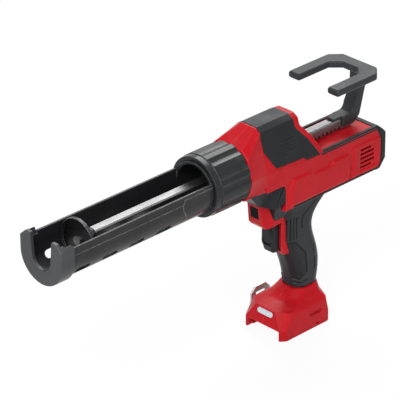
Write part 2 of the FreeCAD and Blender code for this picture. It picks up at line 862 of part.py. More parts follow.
def rear_bumper():
    bare = [(body_rear_top_x + overrun, deck_z + overrun), (body_rear_top_x, deck_z + overrun),
            (body_rear_top_x, deck_z), (body_rear_x, body_rear_top_z), (body_rear_x, body_rear_low_z),
            (body_rear_low_x, body_bottom_z), (body_rear_low_x, body_bottom_z - overrun),
            (body_rear_top_x + overrun, body_bottom_z - overrun)]
    ring = cross_prism(inset(bumper_section(), -bumper_proud), tool_rear_x - overrun, body_rear_top_x)
    ring = ring.common(side_prism(inset(rear_side(), -bumper_proud), -2 * body_half, 2 * body_half))
    ring = ring.cut(side_prism(bare, -2 * body_half, 2 * body_half))
    ring = ring.cut(cross_prism(tail_section(0), tool_rear_x - overrun, body_rear_top_x + overrun))
    outer = body_half + cover_proud
    inner = body_half - trim_thick
    top, seat = deck_z + trim_rise, deck_z - trim_thick
    edge = body_half - trim_width
    section = [(edge, seat), (edge, top), (outer - trim_slope, top),
               (outer, top - trim_slope), (outer, deck_z - trim_high), (inner, deck_z - trim_high),
               (inner, seat)]
    high = cross_prism(section, body_rear_top_x - trim_thick, cover_rear_low_x)
    skin = body_volume(-cover_proud).cut(body_volume(trim_thick))
    low = box(body_rear_low_x - trim_thick, trim_front_x, body_bottom_half - trim_low, 2 * body_half,
              body_bottom_z - overrun, body_bottom_z + trim_low)
    strips = both_sides(high) + both_sides(low.common(skin))
    return joined([ring] + strips).cut(hump_volume(0)).cut(hump_cover()).removeSplitter()


def chin_flare():
    """Swelling of the chin's sides out to the red sides behind them."""
    left = [(chin_rear_x, flare_half), (flare_x, flare_half), (flare_front_x, chin_waist_half)]
    plan = left + [(x, -y) for x, y in reversed(left)]
    section = mirrored([(flare_half, chin_top_z), (flare_half, flare_turn_z), (flare_low_half, body_bottom_z),
                        (chin_bottom_half, chin_bottom_z)])
    across = cross_prism(section, chin_rear_x - overrun, chin_front_x + overrun)
    shape = across.common(plan_prism(plan, chin_bottom_z - overrun, chin_top_z + overrun))
    return shape.common(side_prism(chin_side(), -2 * body_half, 2 * body_half))


def nose_pad():
    skin = chin_volume(0).fuse(chin_flare()).cut(chin_volume(chin_wall))
    others = [nose_volume(0), hump_volume(0), body_volume(0), block_volume(0), frame_volume(0),
              handle_volume(0)]
    pad = skin.cut(joined(others)).cut(rear_bumper())
    return largest(pad)


def grip_sleeve():
    sleeve = handle_volume(0).cut(handle_volume(sleeve_wall))
    others = [body_volume(0), block_volume(0), frame_volume(0), foot_volume(), chin_volume(chin_wall)]
    return largest(sleeve.cut(joined(others)).cut(screw_cuts()).cut(rear_bumper()))


def largest(shape):
    return max(shape.Solids, key=lambda solid: solid.Volume)


# Housing shells

def vent_cutters():
    cutters = []
    for index in range(vent_count):
        z = vent_top_z - index * vent_pitch
        length = vent_front_x - vent_rear_x
        short = length * vent_short_share if index in (0, vent_count - 1) else 0
        cutters += both_sides(box(vent_rear_x + short, vent_front_x, body_half - wall - overrun,
                                  body_half + overrun, z - vent_height, z))
    return joined(cutters)


def raised_panel(outline, low, high, slope):
    """Plate on the left side, from (x, z) points, whose edges lean in between two levels."""
    rows = ((low, outline), (high, inset(outline, slope)))
    return Part.makeLoft([polygon([Vec(x, y, z) for x, z in points]) for y, points in rows], True, True)


def vent_pad():
    return [(vent_pad_front_x, vent_pad_top_z), (vent_pad_corner_x, vent_pad_top_z),
            (vent_pad_rear_x, vent_pad_rear_z), (vent_pad_rear_x, vent_pad_rear_low_z),
            (vent_pad_corner_x, pad_low_z), (vent_pad_heel_x, pad_low_z),
            (vent_pad_waist_x, vent_pad_waist_z)]


def side_pad():
    """Long panel whose upper edge dips between its two raised ends."""
    dips = list(zip(side_pad_dip_xs, (side_pad_top_z, side_pad_dip_z, side_pad_dip_z, side_pad_top_z)))
    return [(side_pad_front_x, side_pad_top_z)] + dips + [
        (side_pad_rear_x, side_pad_top_z), (vent_pad_waist_x + side_pad_gap, vent_pad_waist_z),
        (vent_pad_heel_x + side_pad_gap, pad_low_z), (side_pad_toe_x, pad_low_z),
        (side_pad_toe_x, side_pad_toe_z)]


def side_pads():
    pads = [raised_panel(vent_pad(), body_half, body_half + vent_pad_proud, vent_pad_slope),
            raised_panel(side_pad(), body_half, body_half + side_pad_proud, side_pad_slope)]
    return [side for pad in pads for side in both_sides(pad)]


def vent_hollows():
    """Shallow hollows with leaning edges that the vent slots open from."""
    low_z = vent_top_z - (vent_count - 1) * vent_pitch - vent_height
    slots = [(vent_front_x, vent_top_z), (vent_rear_x, vent_top_z), (vent_rear_x, low_z),
             (vent_front_x, low_z)]
    level = body_half + vent_pad_proud
    outline = inset(slots, -vent_frame - vent_hollow)
    hollow = raised_panel(outline, level + vent_hollow, level - vent_hollow, 2 * vent_hollow)
    return joined(both_sides(hollow))


def screw_cuts():
    """Head recesses on the right and pilot holes through to the left shell."""
    cuts = []
    for x, z, seat in boss_places:
        cuts.append(rod_y(screw_head_radius + free_gap, -2 * body_half, -seat, x, z))
        cuts.append(rod_y(screw_radius + seat_gap, -seat, screw_grip, x, z))
    return joined(cuts)


def lens_outline(low_share, high_share, start, end, thick):
    """Plate let into a sloping face that runs from start to end, as (x, z) points."""
    dx, dz = end[0] - start[0], end[1] - start[1]
    length = math.hypot(dx, dz)
    inwards = (dz / length * thick, -dx / length * thick)
    a, b = [(start[0] + dx * share, start[1] + dz * share) for share in (low_share, high_share)]
    return [a, b, (b[0] + inwards[0], b[1] + inwards[1]), (a[0] + inwards[0], a[1] + inwards[1])]


def block_face():
    return (block_front_x, block_top_z), (block_lip_x, block_lip_z)


def foot_face():
    ridge_x = foot_half_length - foot_ridge_in
    return (ridge_x, base_z + foot_ridge), (foot_half_length, base_z + foot_skirt)


def work_light_lens(gap=0):
    outline = lens_outline(lens_start_share, lens_end_share, *block_face(), lens_thick)
    return side_prism(inset(outline, -gap), -lens_half - gap, lens_half + gap)


def work_light_board():
    outer = lens_outline(lens_start_share, lens_end_share, *block_face(), lens_thick)
    whole = lens_outline(lens_start_share, lens_end_share, *block_face(), lens_thick + lamp_board)
    return side_prism([outer[3], outer[2], whole[2], whole[3]], -lens_half, lens_half)


def status_window(gap=0):
    outline = lens_outline(window_low_share, window_high_share, *foot_face(), window_thick)
    plate = side_prism(inset(outline, -gap), -window_half - gap, window_half + gap)
    (ax, az), (bx, bz) = outline[1:3]
    inwards = Vec(bx - ax, 0, bz - az).normalize()
    short = [edge for edge in plate.Edges
             if abs(edge.tangentAt(edge.FirstParameter).dot(inwards)) > parallel_share]
    return plate.makeChamfer(window_cut, short)


def trigger_slot():
    return box(switch_front_x, trigger_front_x, -trigger_half - free_gap, trigger_half + free_gap,
               trigger_top_z - trigger_height - free_gap, trigger_top_z + free_gap)


def terminal_opening(gap=0):
    low = base_z + terminal_rise
    half = terminal_half + gap
    return box(terminal_front_x - terminal_length - gap, terminal_front_x + gap, -half, half, low - gap,
               low + terminal_height + gap)


def hook_recesses():
    middle_z = base_z + hook_slot_rise
    slot = box(hook_slot_x - hook_slot_length / 2, hook_slot_x + hook_slot_length / 2,
               foot_half - hook_slot_depth, foot_half + overrun, middle_z - hook_slot_height / 2,
               middle_z + hook_slot_height / 2)
    hole = rod_y(hook_hole_radius, foot_half - hook_hole_depth, foot_half + overrun, hook_hole_x,
                 base_z + hook_hole_rise)
    return joined(both_sides(slot) + both_sides(hole))


def housing():
    outer = joined([nose_volume(0), hump_volume(0), body_volume(0), tail_volume(0), block_volume(0),
                    frame_volume(0), handle_volume(sleeve_wall), foot_volume()] + side_pads())
    hollow = joined([nose_volume(wall), hump_volume(cover_thick + wall / 2), body_volume(wall),
                     tail_volume(wall), chin_volume(chin_wall), block_volume(wall), frame_volume(wall),
                     handle_volume(sleeve_wall + wall), foot_cavities()])
    bosses = [rod_y(boss_radius, -2 * body_half, 2 * body_half, x, z) for x, z, _ in boss_places]
    shell = outer.cut(hollow).fuse(joined(bosses).common(outer))
    rod_way = box(hump_rear_x - overrun, hump_top_rear_x, -rod_half - free_gap, rod_half + free_gap,
                  -rod_half - free_gap, rod_half + free_gap)
    mouth = rod_x(ring_flange_radius + seat_gap, front_guide_front_x - overrun, collar_rear_x + overrun)
    cuts = [rod_way, mouth, vent_hollows(), vent_cutters(), screw_cuts(), work_light_lens(seat_gap),
            status_window(seat_gap), trigger_slot(), terminal_opening(seat_gap), hook_recesses(),
            hump_cover(), rear_bumper()]
    return shell.cut(cuts)


def housing_half(shell, side):
    reach = 2 * cradle_front_x
    half = box(-reach, reach, 0, side * reach, -reach, reach)
    return largest(shell.common(half))


def housing_screws():
    screws = []
    for x, z, seat in boss_places:
        shank = rod_y(screw_radius, -seat, screw_grip - wall, x, z)
        head = rod_y(screw_head_radius, -seat - screw_head, -seat, x, z)
        screws.append(shank.fuse(head).removeSplitter())
    return Part.makeCompound(screws)


# Collar, nose ring and cradle

def lock_collar():
    bore = ring_radius + running_gap
    lip_bore = tail_radius + free_gap
    lip = collar_radius - collar_lip_step
    outline = [(collar_rear_x, bore), (collar_rear_x, collar_radius - collar_edge),
               (collar_rear_x + collar_edge, collar_radius), (collar_lip_x, collar_radius),
               (collar_lip_x + collar_edge, lip), (collar_front_x - collar_edge, lip),
               (collar_front_x, lip - collar_edge), (collar_front_x, lip_bore), (collar_lip_x, lip_bore),
               (collar_lip_x, bore)]
    body = Part.Face(polygon([Vec(x, 0, r) for x, r in outline])).revolve(Vec(0, 0, 0), Vec(1, 0, 0), 360)
    reach = collar_radius + flute_radius - flute_depth
    flutes = []
    for index in range(flute_count):
        angle = math.radians(flute_first_angle + 360 * index / flute_count)
        flutes.append(rod_x(flute_radius, collar_rear_x - overrun, collar_lip_x - collar_edge,
                            reach * math.cos(angle), reach * math.sin(angle)))
    return body.cut(flutes)


def rod_hole(x0, x1):
    half = rod_half + guide_gap
    return box(x0, x1, -half, half, -half, half)


def nose_ring():
    flange = rod_x(ring_flange_radius, front_guide_front_x, nose_x)
    spigot = rod_x(ring_radius, nose_x, spigot_front_x)
    web_front = spigot_front_x - ring_web_back
    ring = flange.fuse(spigot).cut(rod_x(barrel_radius, web_front, spigot_front_x + overrun))
    ring = ring.cut(rod_x(barrel_radius, front_guide_front_x - overrun, web_front - ring_web))
    return ring.cut(rod_hole(front_guide_front_x, spigot_front_x)).removeSplitter()


def cradle_slots():
    slots = []
    depth = cradle_radius - barrel_radius + 2 * overrun
    straight = (cradle_slot_length - cradle_slot_width) / 2
    half = cradle_slot_width / 2
    for index in range(cradle_slot_count):
        x = cradle_slot_first_x + index * cradle_slot_pitch
        low = -cradle_radius - overrun
        ends = [Part.makeCylinder(half, depth, Vec(x + side * straight, 0, low)) for side in (-1, 1)]
        slot = joined(ends + [box(x - straight, x + straight, -half, half, low, low + depth)])
        for side in (-1, 1):
            turned = slot.copy()
            turned.rotate(Vec(0, 0, 0), Vec(1, 0, 0), side * cradle_slot_angle)
            slots.append(turned)
    return slots


def cradle():
    start = collar_front_x + free_gap
    upper = trough(cradle_radius - cradle_ledge, cradle_rim_z, start, cap_rear_x)
    lower = trough(cradle_radius, cradle_ledge_z, start, cap_rear_x)
    pad_side = [(cradle_pad_front_x, 0), (cradle_pad_front_x, cradle_ledge_z),
                (cradle_pad_front_x - cradle_pad_bevel / 2, cradle_pad_top_z),
                (cradle_pad_rear_x, cradle_pad_top_z), (cradle_pad_rear_x, cradle_pad_low_z),
                (cradle_pad_front_x - cradle_pad_bevel, cradle_pad_low_z)]
    pad = trough(cradle_radius + cradle_ledge, cradle_pad_top_z, start, cap_rear_x)
    pad = pad.common(side_prism(pad_side, -2 * cradle_radius, 2 * cradle_radius))
    socket = trough(cap_socket_radius - seat_gap, cap_side_z - cap_ramp, cap_rear_x,
                    cap_rear_x + cap_socket)
    tail = rod_x(tail_radius, collar_lip_x - free_gap, start + tail_proud)
    flange = rod_x(flange_radius, spigot_front_x + free_gap, collar_lip_x - free_gap)
    solid = joined([upper, lower, pad, socket, tail, flange])
    hollow = trough(barrel_radius, 2 * cradle_rim_z, start + tail_proud, cap_rear_x + cap_socket + overrun)
    bore = rod_x(barrel_radius, spigot_front_x - overrun, start + 2 * tail_proud)
    return solid.cut([hollow, bore] + cradle_slots()).removeSplitter()


def nozzle_cap():
    rise = [(-cap_radius, 0), (-cap_radius, cap_side_z), (-cap_top_half, cap_top_z),
            (cap_top_half, cap_top_z), (cap_radius, cap_side_z), (cap_radius, 0)]
    corners = [Vec(cap_rear_x, y, z) for y, z in rise]
    edges = [Part.makeLine(a, b) for a, b in zip(corners, corners[1:])]
    edges.append(Part.Arc(corners[-1], Vec(cap_rear_x, 0, -cap_radius), corners[0]).toShape())
    body = Part.Face(Part.Wire(edges)).extrude(Vec(cap_length, 0, 0))
    top = cap_top_z + overrun
    hollow = trough(barrel_radius, top, cap_rear_x - overrun, cradle_front_x - cap_plate)
    socket = trough(cap_socket_radius, top, cap_rear_x - overrun, cap_rear_x + cap_socket)
    nozzle = [(nozzle_top_half, top), (nozzle_half, nozzle_centre_z), (-nozzle_half, nozzle_centre_z),
              (-nozzle_top_half, top)]
    slot = cross_prism(nozzle, cap_rear_x, cradle_front_x + overrun)
    slot = slot.fuse(rod_x(nozzle_half, cap_rear_x, cradle_front_x + overrun, 0, nozzle_centre_z))
    slope = [(cap_rear_x - overrun, cap_side_z), (cap_rear_x, cap_side_z), (cap_rear_x + cap_ramp, top),
             (cap_rear_x - overrun, top)]
    ramp = side_prism(slope, -2 * cap_radius, 2 * cap_radius)
    return body.cut([hollow, socket, slot, ramp])


# Push rod, plunger and pull handle

def push_rod():
    pitch = math.pi * rack_module
    slope = math.tan(math.radians(pressure_angle))
    root_half = pitch / 4 - rack_dedendum * slope
    tip_half = pitch / 4 + rack_addendum * slope
    root_z = rack_line_z + rack_dedendum
    first = math.ceil((grip_front_x - pinion_x + tip_half) / pitch)
    last = math.floor((rack_front_x - pinion_x - tip_half) / pitch)
    outline = [(rod_front_x, rod_half), (rod_rear_x, rod_half), (rod_rear_x, -rod_half)]
    for index in range(first, last + 1):
        x = pinion_x + index * pitch
        outline += [(x - tip_half, -rod_half), (x - root_half, root_z), (x + root_half, root_z),
                    (x + tip_half, -rod_half)]
    outline.append((rod_front_x, -rod_half))
    bar = side_prism(outline, -rod_half, rod_half)
    section = mirrored([(rod_half - rod_edge, rod_half), (rod_half, rod_half - rod_edge),
                        (rod_half, -rod_half)])
    bar = bar.common(cross_prism(section, rod_rear_x - overrun, rod_front_x + overrun))
    spigot = rod_x(spigot_radius, rod_front_x - overrun, rod_front_x + spigot_length)
    end = rod_front_x + spigot_length
    hole = rod_x(bolt_radius + seat_gap, end - bolt_length, end)
    pins = [rod_y(pin_radius + seat_gap, -rod_half, rod_half, x, 0) for x in pin_xs]
    return bar.fuse(spigot).cut([hole] + pins).removeSplitter()


def plunger():
    hub_end = rod_front_x + spigot_length
    disc_end = hub_end + plunger_plate
    hub = rod_x(plunger_hub_radius, rod_front_x, hub_end)
    disc = rod_x(plunger_radius, hub_end, disc_end + plunger_rim)
    dish = rod_x(plunger_radius - plunger_rim_wall, disc_end, disc_end + plunger_rim)
    body = hub.fuse(disc).cut(dish).cut(rod_x(spigot_radius + seat_gap, rod_front_x, hub_end))
    return body.cut(rod_x(bolt_radius + seat_gap, hub_end, disc_end)).removeSplitter()


def plunger_bolt():
    end = rod_front_x + spigot_length
    shank = rod_x(bolt_radius, end - bolt_length + overrun / 2, end + plunger_plate)
    head = rod_x(bolt_head_radius, end + plunger_plate, end + plunger_plate + bolt_head)
    return shank.fuse(head).removeSplitter()


def pull_handle():
    side = [(grip_front_x, grip_low_z), (grip_front_x, grip_top_z), (grip_rear_x, grip_top_z),
            (grip_rear_x, grip_heel_z), (grip_heel_x, grip_low_z)]
    boss = side_prism(side, -grip_half, grip_half)
    saddle = box(grip_front_x, saddle_front_x, -rod_half, rod_half, rod_half + seat_gap, grip_top_z)
    fork_low_z = fork_top_z - fork_thick
    root_z = fork_low_z + fork_thick / 2
    scoop = []
    for share in scoop_shares:
        turn = math.pi / 2 * share
        scoop.append((riser_front_x + riser_scoop * (1 - math.sin(turn)),
                      grip_top_z + riser_scoop * (1 - math.cos(turn))))
    back = [(riser_bend_x, riser_bend_z), (riser_top_x, root_z), (fork_rear_x, root_z),
            (riser_rear_x, riser_bend_z), (grip_rear_x, grip_heel_z)]
    riser = side_prism([(scoop[0][0], grip_heel_z)] + scoop + back, -riser_half, riser_half)
    left = [(fork_front_x, fork_half), (fork_corner_x, fork_half), (fork_rear_x, fork_rear_half)]
    plate = plan_prism(left + [(x, -y) for x, y in reversed(left)], fork_low_z, fork_top_z)
    gap = [(fork_front_x + overrun, fork_inner_half), (fork_slot_x + fork_slot_cut, fork_inner_half),
           (fork_slot_x, fork_inner_half - fork_slot_cut)]
    slot = plan_prism(gap + [(x, -y) for x, y in reversed(gap)], fork_low_z - overrun, fork_top_z + overrun)
    plate = plate.cut(slot)
    rims = [edge for edge in plate.Edges if abs(edge.Vertexes[0].Z - edge.Vertexes[-1].Z) < fork_edge]
    plate = plate.makeChamfer(fork_edge, rims)
    cavity = box(rod_rear_x - seat_gap, grip_front_x + overrun, -rod_half - seat_gap, rod_half + seat_gap,
                 -rod_half - seat_gap, rod_half + seat_gap)
    pin_end = rod_half + pin_bite + seat_gap
    pins = [rod_y(pin_radius + seat_gap, -grip_half, pin_end, x, 0) for x in pin_xs]
    return joined([boss, saddle, riser, plate]).cut([cavity] + pins).removeSplitter()


def handle_pins():
    return Part.makeCompound([rod_y(pin_radius, -grip_half, rod_half + pin_bite, x, 0) for x in pin_xs])


# Rack drive

def pinion_shaft():
    teeth = tooth_outline(rack_module, pinion_teeth, pinion_addendum, pinion_addendum, tooth_play, 90)
    shaft = rod_y(shaft_radius, -shaft_half, shaft_half, pinion_x, pinion_z)
    return shaft.fuse(gear_y(teeth, -pinion_half, pinion_half, pinion_x, pinion_z)).removeSplitter()


def reduction_gear():
    facing = lay_turn + 180 + 180 / gear_teeth
    teeth = full_teeth(gear_module, gear_teeth, tooth_play, facing)
    end_y = gear_start_y + gear_width
    gear = gear_y(teeth, gear_start_y, end_y, pinion_x, pinion_z)
    return gear.cut(rod_y(shaft_radius + seat_gap, gear_start_y, end_y, pinion_x, pinion_z))


def lay_shaft():
    teeth = full_teeth(gear_module, lay_teeth, tooth_play, lay_turn)
    shaft = rod_y(lay_radius, -shaft_half, shaft_half, lay_x, drive_z)
    pinion = gear_y(teeth, gear_start_y, gear_start_y + gear_width, lay_x, drive_z)
    return shaft.fuse(pinion).removeSplitter()


def bevel_gear():
    """Toothed cone on the right of the lay shaft; its point is where the two axes cross."""
    outer = -bevel_pinion_radius
    teeth = bevel_teeth(bevel_gear_teeth, 180)
    wires = []
    for scale in (1, 1 - bevel_face_share):
        ring = [Vec(lay_x + a * scale, outer * scale, drive_z + b * scale) for a, b in teeth]
        wires.append(polygon(ring))
    cone = Part.makeLoft(wires, True, True)
    hub = rod_y(bevel_hub_radius, outer - bevel_hub, outer, lay_x, drive_z)
    bore = rod_y(lay_radius + seat_gap, outer - bevel_hub, 0, lay_x, drive_z)
    return cone.fuse(hub).cut(bore).removeSplitter()


def bevel_pinion():
    """Toothed cone on the output shaft, which ends in two driving dogs."""
    outer = bevel_gear_radius
    facing = 180 + 180 / bevel_pinion_teeth
    teeth = bevel_teeth(bevel_pinion_teeth, facing)
    wires = []
    for scale in (1, 1 - bevel_face_share):
        ring = [Vec(lay_x - outer * scale, a * scale, drive_z + b * scale) for a, b in teeth]
        wires.append(polygon(ring))
    cone = Part.makeLoft(wires, True, True)
    shaft = rod_x(output_radius, lay_x - outer, output_end_x, 0, drive_z)
    end = rod_x(dog_radius, output_end_x, output_end_x - dog_length, 0, drive_z)
    dogs = box(output_end_x - 2 * dog_length, output_end_x - dog_length, -dog_radius / 2, dog_radius / 2,
               drive_z - dog_width / 2, drive_z + dog_width / 2)
    return joined([cone, shaft, end, dogs])


def plate_outline():
    return spread(plate_shares, plate_rear_x, plate_front_x, plate_low_z, plate_top_z)


def spacer_places():
    return spread(spacer_shares, plate_rear_x, plate_front_x, plate_low_z, plate_top_z)


def gear_plate(side):
    near, far = side * plate_start_y, side * (plate_start_y + plate_thick)
    plate = side_prism(plate_outline(), near, far)
    holes = [rod_y(pinion_bearing_radius + seat_gap, near, far, pinion_x, pinion_z),
             rod_y(lay_bearing_radius + seat_gap, near, far, lay_x, drive_z)]
    return plate.cut(holes)


def gear_spacers():
    spacers = [rod_y(spacer_radius, -plate_start_y, plate_start_y, x, z) for x, z in spacer_places()]
    return Part.makeCompound(spacers)


def shaft_bearings():
    rings = []
    for side in (-1, 1):
        far = side * (plate_start_y + plate_thick)
        near = far - side * bearing_width
        for radius, bore, x, z in ((pinion_bearing_radius, shaft_radius, pinion_x, pinion_z),
                                   (lay_bearing_radius, lay_radius, lay_x, drive_z)):
            rings.append(rod_y(radius, near, far, x, z).cut(rod_y(bore + running_gap, near, far, x, z)))
    return Part.makeCompound(rings)


def front_guide():
    block = box(front_guide_rear_x, front_guide_front_x, -plate_start_y, plate_start_y, -guide_half_height,
                guide_half_height)
    return block.cut(rod_hole(front_guide_rear_x, front_guide_front_x))


def rear_guide():
    rear = rear_guide_front_x - rear_guide_length
    block = box(rear, rear_guide_front_x, -plate_start_y, plate_start_y, deck_z - wall / 2,
                guide_half_height)
    return block.cut(rod_hole(rear, rear_guide_front_x))


# Gearbox and motor

def gearbox_flange():
    disc = rod_x(drive_radius, flange_front_x, flange_rear_x, 0, drive_z)
    return disc.cut(rod_x(output_bearing_radius + seat_gap, flange_front_x, flange_rear_x, 0, drive_z))


def output_bearing():
    return tube_x(output_bearing_radius, output_radius + running_gap, flange_front_x, flange_rear_x, 0,
                  drive_z)


def ring_gear():
    body = rod_x(ring_outer_radius, flange_rear_x, ring_rear_x, 0, drive_z)
    gaps = tooth_outline(planet_module, ring_teeth, planet_dedendum, planet_addendum, -tooth_play, 90)
    return body.cut(gear_x(gaps, ring_rear_x - overrun, flange_rear_x + overrun, 0, drive_z))


def planet_carrier():
    disc = rod_x(carrier_radius, carrier_front_x, carrier_rear_x, 0, drive_z)
    pins = [rod_x(planet_pin_radius, carrier_rear_x, planet_rear_x, y, z) for _, y, z in planet_places()]
    dogs = box(carrier_front_x, carrier_front_x + dog_length, -dog_radius / 2, dog_radius / 2,
               drive_z - dog_width / 2, drive_z + dog_width / 2)
    return joined([disc, dogs] + pins)


def planet_gear(index):
    angle, y, z = planet_places()[index]
    facing = angle + 180 + 180 / planet_teeth
    teeth = tooth_outline(planet_module, planet_teeth, planet_addendum, planet_dedendum, tooth_play, facing)
    gear = gear_x(teeth, planet_front_x, planet_rear_x, y, z)
    return gear.cut(rod_x(planet_pin_radius + running_gap, planet_front_x, planet_rear_x, y, z))


def rotor_shaft():
    teeth = tooth_outline(planet_module, sun_teeth, planet_addendum, planet_dedendum, tooth_play, 90)
    sun = gear_x(teeth, planet_front_x, planet_rear_x, 0, drive_z)
    shaft = rod_x(rotor_shaft_radius, planet_rear_x, bearing_rear_x, 0, drive_z)
    return sun.fuse(shaft).removeSplitter()


def rotor_core():
    return tube_x(rotor_radius, rotor_shaft_radius + seat_gap, stator_front_x - stator_gap,
                  stator_rear_x + stator_gap, 0, drive_z)


def motor_fan():
    disc = rod_x(fan_radius, fan_front_x - fan_length + fan_disc, fan_front_x - fan_length, 0, drive_z)
    hub = rod_x(fan_hub_radius, fan_front_x, fan_rear_x, 0, drive_z)
    blades = []
    for index in range(fan_blades):
        blade = box(fan_rear_x, fan_front_x, 0, fan_radius - fan_blade, drive_z - fan_blade / 2,
                    drive_z + fan_blade / 2)
        blade.rotate(Vec(0, 0, drive_z), Vec(1, 0, 0), 360 * index / fan_blades)
        blades.append(blade)
    fan = joined([disc, hub] + blades)
    return fan.cut(rod_x(rotor_shaft_radius + seat_gap, fan_front_x, fan_rear_x, 0, drive_z))


def motor_plate():
    disc = rod_x(drive_radius, ring_rear_x, motor_plate_rear_x, 0, drive_z)
    return disc.cut(rod_x(motor_bearing_radius + seat_gap, ring_rear_x, motor_plate_rear_x, 0, drive_z))


def motor_bearings():
    bore = rotor_shaft_radius + running_gap
    front = tube_x(motor_bearing_radius, bore, ring_rear_x, motor_plate_rear_x, 0, drive_z)
    rear = tube_x(motor_bearing_radius, bore, bearing_front_x, bearing_rear_x, 0, drive_z)
    return Part.makeCompound([front, rear])


def motor_bridge():
    half = body_half - wall - seat_gap
    bar = box(bearing_rear_x, bearing_front_x, -half, half, drive_z - bridge_half_height,
              drive_z + bridge_half_height)
    return bar.cut(rod_x(motor_bearing_radius + seat_gap, bearing_front_x, bearing_rear_x, 0, drive_z))


def pole_bars(width, x0, x1, inner, outer):
    bars = []
    for index in range(stator_poles):
        bar = box(x0, x1, inner, outer, drive_z - width / 2, drive_z + width / 2)
        bar.rotate(Vec(0, 0, drive_z), Vec(1, 0, 0), 360 * index / stator_poles)
        bars.append(bar)
    return bars


def stator_core():
    yoke = tube_x(stator_radius, stator_radius - stator_yoke, stator_front_x, stator_rear_x, 0, drive_z)
    inner = rod_x(pole_bore, stator_rear_x - overrun, stator_front_x + overrun, 0, drive_z)
    bars = pole_bars(pole_width, stator_rear_x + coil_wall, stator_front_x - coil_wall, 0,
                     stator_radius - stator_yoke / 2)
    return joined([yoke] + bars).cut(inner).removeSplitter()


def stator_coils():
    inner, outer = pole_bore + coil_gap, stator_radius - stator_yoke - 2 * coil_gap
    coils = []
    whole = pole_bars(pole_width + 2 * coil_wall, stator_rear_x, stator_front_x, inner, outer)
    poles = pole_bars(pole_width + seat_gap, stator_rear_x + coil_wall, stator_front_x - coil_wall, 0,
                      stator_radius)
    for coil, pole in zip(whole, poles):
        coils.append(coil.cut(pole))
    return Part.makeCompound(coils)


# Trigger, switch, foot fittings

def trigger():
    low_z = trigger_top_z - trigger_height
    outline = spread(trigger_shares, trigger_rear_x, trigger_front_x, trigger_top_z, low_z)
    body = side_prism(outline, -trigger_half, trigger_half)
    plan = [(trigger_rear_x, trigger_half), (trigger_front_x - trigger_edge, trigger_half),
            (trigger_front_x, trigger_half - trigger_edge)]
    plan += [(x, -y) for x, y in reversed(plan)]
    body = body.common(plan_prism(plan, low_z, trigger_top_z))
    stem = box(stem_end_x, trigger_rear_x, -stem_half, stem_half, stem_top_z - stem_height, stem_top_z)
    return body.fuse(stem).removeSplitter()


def trigger_spring():
    """Coil between the stem and the switch."""
    length = stem_end_x - switch_front_x - 2 * spring_wire
    helix = Part.makeHelix(length / spring_turns, length, spring_radius)
    start = Vec(spring_radius, 0, 0)
    profile = Part.Wire(Part.makeCircle(spring_wire, start, Vec(0, 1, 0)))
    coil = Part.Wire(helix).makePipeShell([profile], True, True)
    coil.rotate(Vec(0, 0, 0), Vec(0, 1, 0), 90)
    coil.translate(Vec(switch_front_x + spring_wire, 0, stem_top_z - stem_height / 2))
    return coil


def switch_body():
    return box(switch_front_x - switch_length, switch_front_x, -switch_half, switch_half,
               switch_top_z - switch_height, switch_top_z)


def belt_hook():
    face = -foot_half
    base_x = hook_slot_x - hook_base_length / 2
    base_top = base_z + hook_base_rise + hook_base_height
    base = box(base_x, base_x + hook_base_length, face - hook_thick, face, base_top - hook_base_height,
               base_top)
    tang_half, tang_z = hook_slot_length / 2 - hook_thick, base_z + hook_slot_rise
    tang_half_height = hook_slot_height / 2 - free_gap
    tang = box(hook_slot_x - tang_half, hook_slot_x + tang_half, face, face + hook_slot_depth,
               tang_z - tang_half_height, tang_z + tang_half_height)
    outer = face - hook_offset - hook_thick
    bridge = box(hook_rear_x, hook_rear_x + hook_leg, outer, face, base_top - hook_thick, base_top)
    top = base_z + hook_top_rise
    tip, start = base_z + hook_tip_rise, base_top - hook_thick
    arch = [(hook_rear_x, start), (hook_rear_x, top - hook_round), (hook_rear_x + hook_round, top),
            (hook_front_x - hook_round, top), (hook_front_x, top - hook_round), (hook_front_x, tip),
            (hook_front_x - hook_leg, tip), (hook_front_x - hook_leg, top - hook_leg),
            (hook_rear_x + hook_leg, top - hook_leg), (hook_rear_x + hook_leg, start)]
    strip = side_prism(arch, outer, outer + hook_thick)
    hole = rod_y(hook_hole_radius + free_gap, face - hook_thick, face, hook_hole_x, base_z + hook_hole_rise)
    return joined([base, tang, bridge, strip]).cut(hole)


def belt_hook_screw():
    face = -foot_half - hook_thick
    head = rod_y(2 * hook_hole_radius, face - hook_thick, face, hook_hole_x, base_z + hook_hole_rise)
    shank = rod_y(hook_hole_radius - seat_gap, face, -foot_half + hook_hole_depth - seat_gap, hook_hole_x,
                  base_z + hook_hole_rise)
    return head.fuse(shank).removeSplitter()


def terminal_blades():
    blades = []
    for index in range(blade_count):
        y = (index - (blade_count - 1) / 2) * blade_pitch
        low = base_z + blade_rise
        blades.append(box(terminal_front_x, terminal_front_x + blade_length, y - blade_thick / 2,
                          y + blade_thick / 2, low, low + blade_height))
    return Part.makeCompound(blades)


def control_board():
    low = base_z + channel_height + foot_floor
    rear = terminal_front_x + wall
    return box(rear, rear + board_length, -board_half, board_half, low, low + board_thick)


def write(name, shape):
    placed = shape.copy()
    placed.translate(Vec(0, 0, axis_height))
    placed.exportStep(os.path.join("parts", name + ".step"))


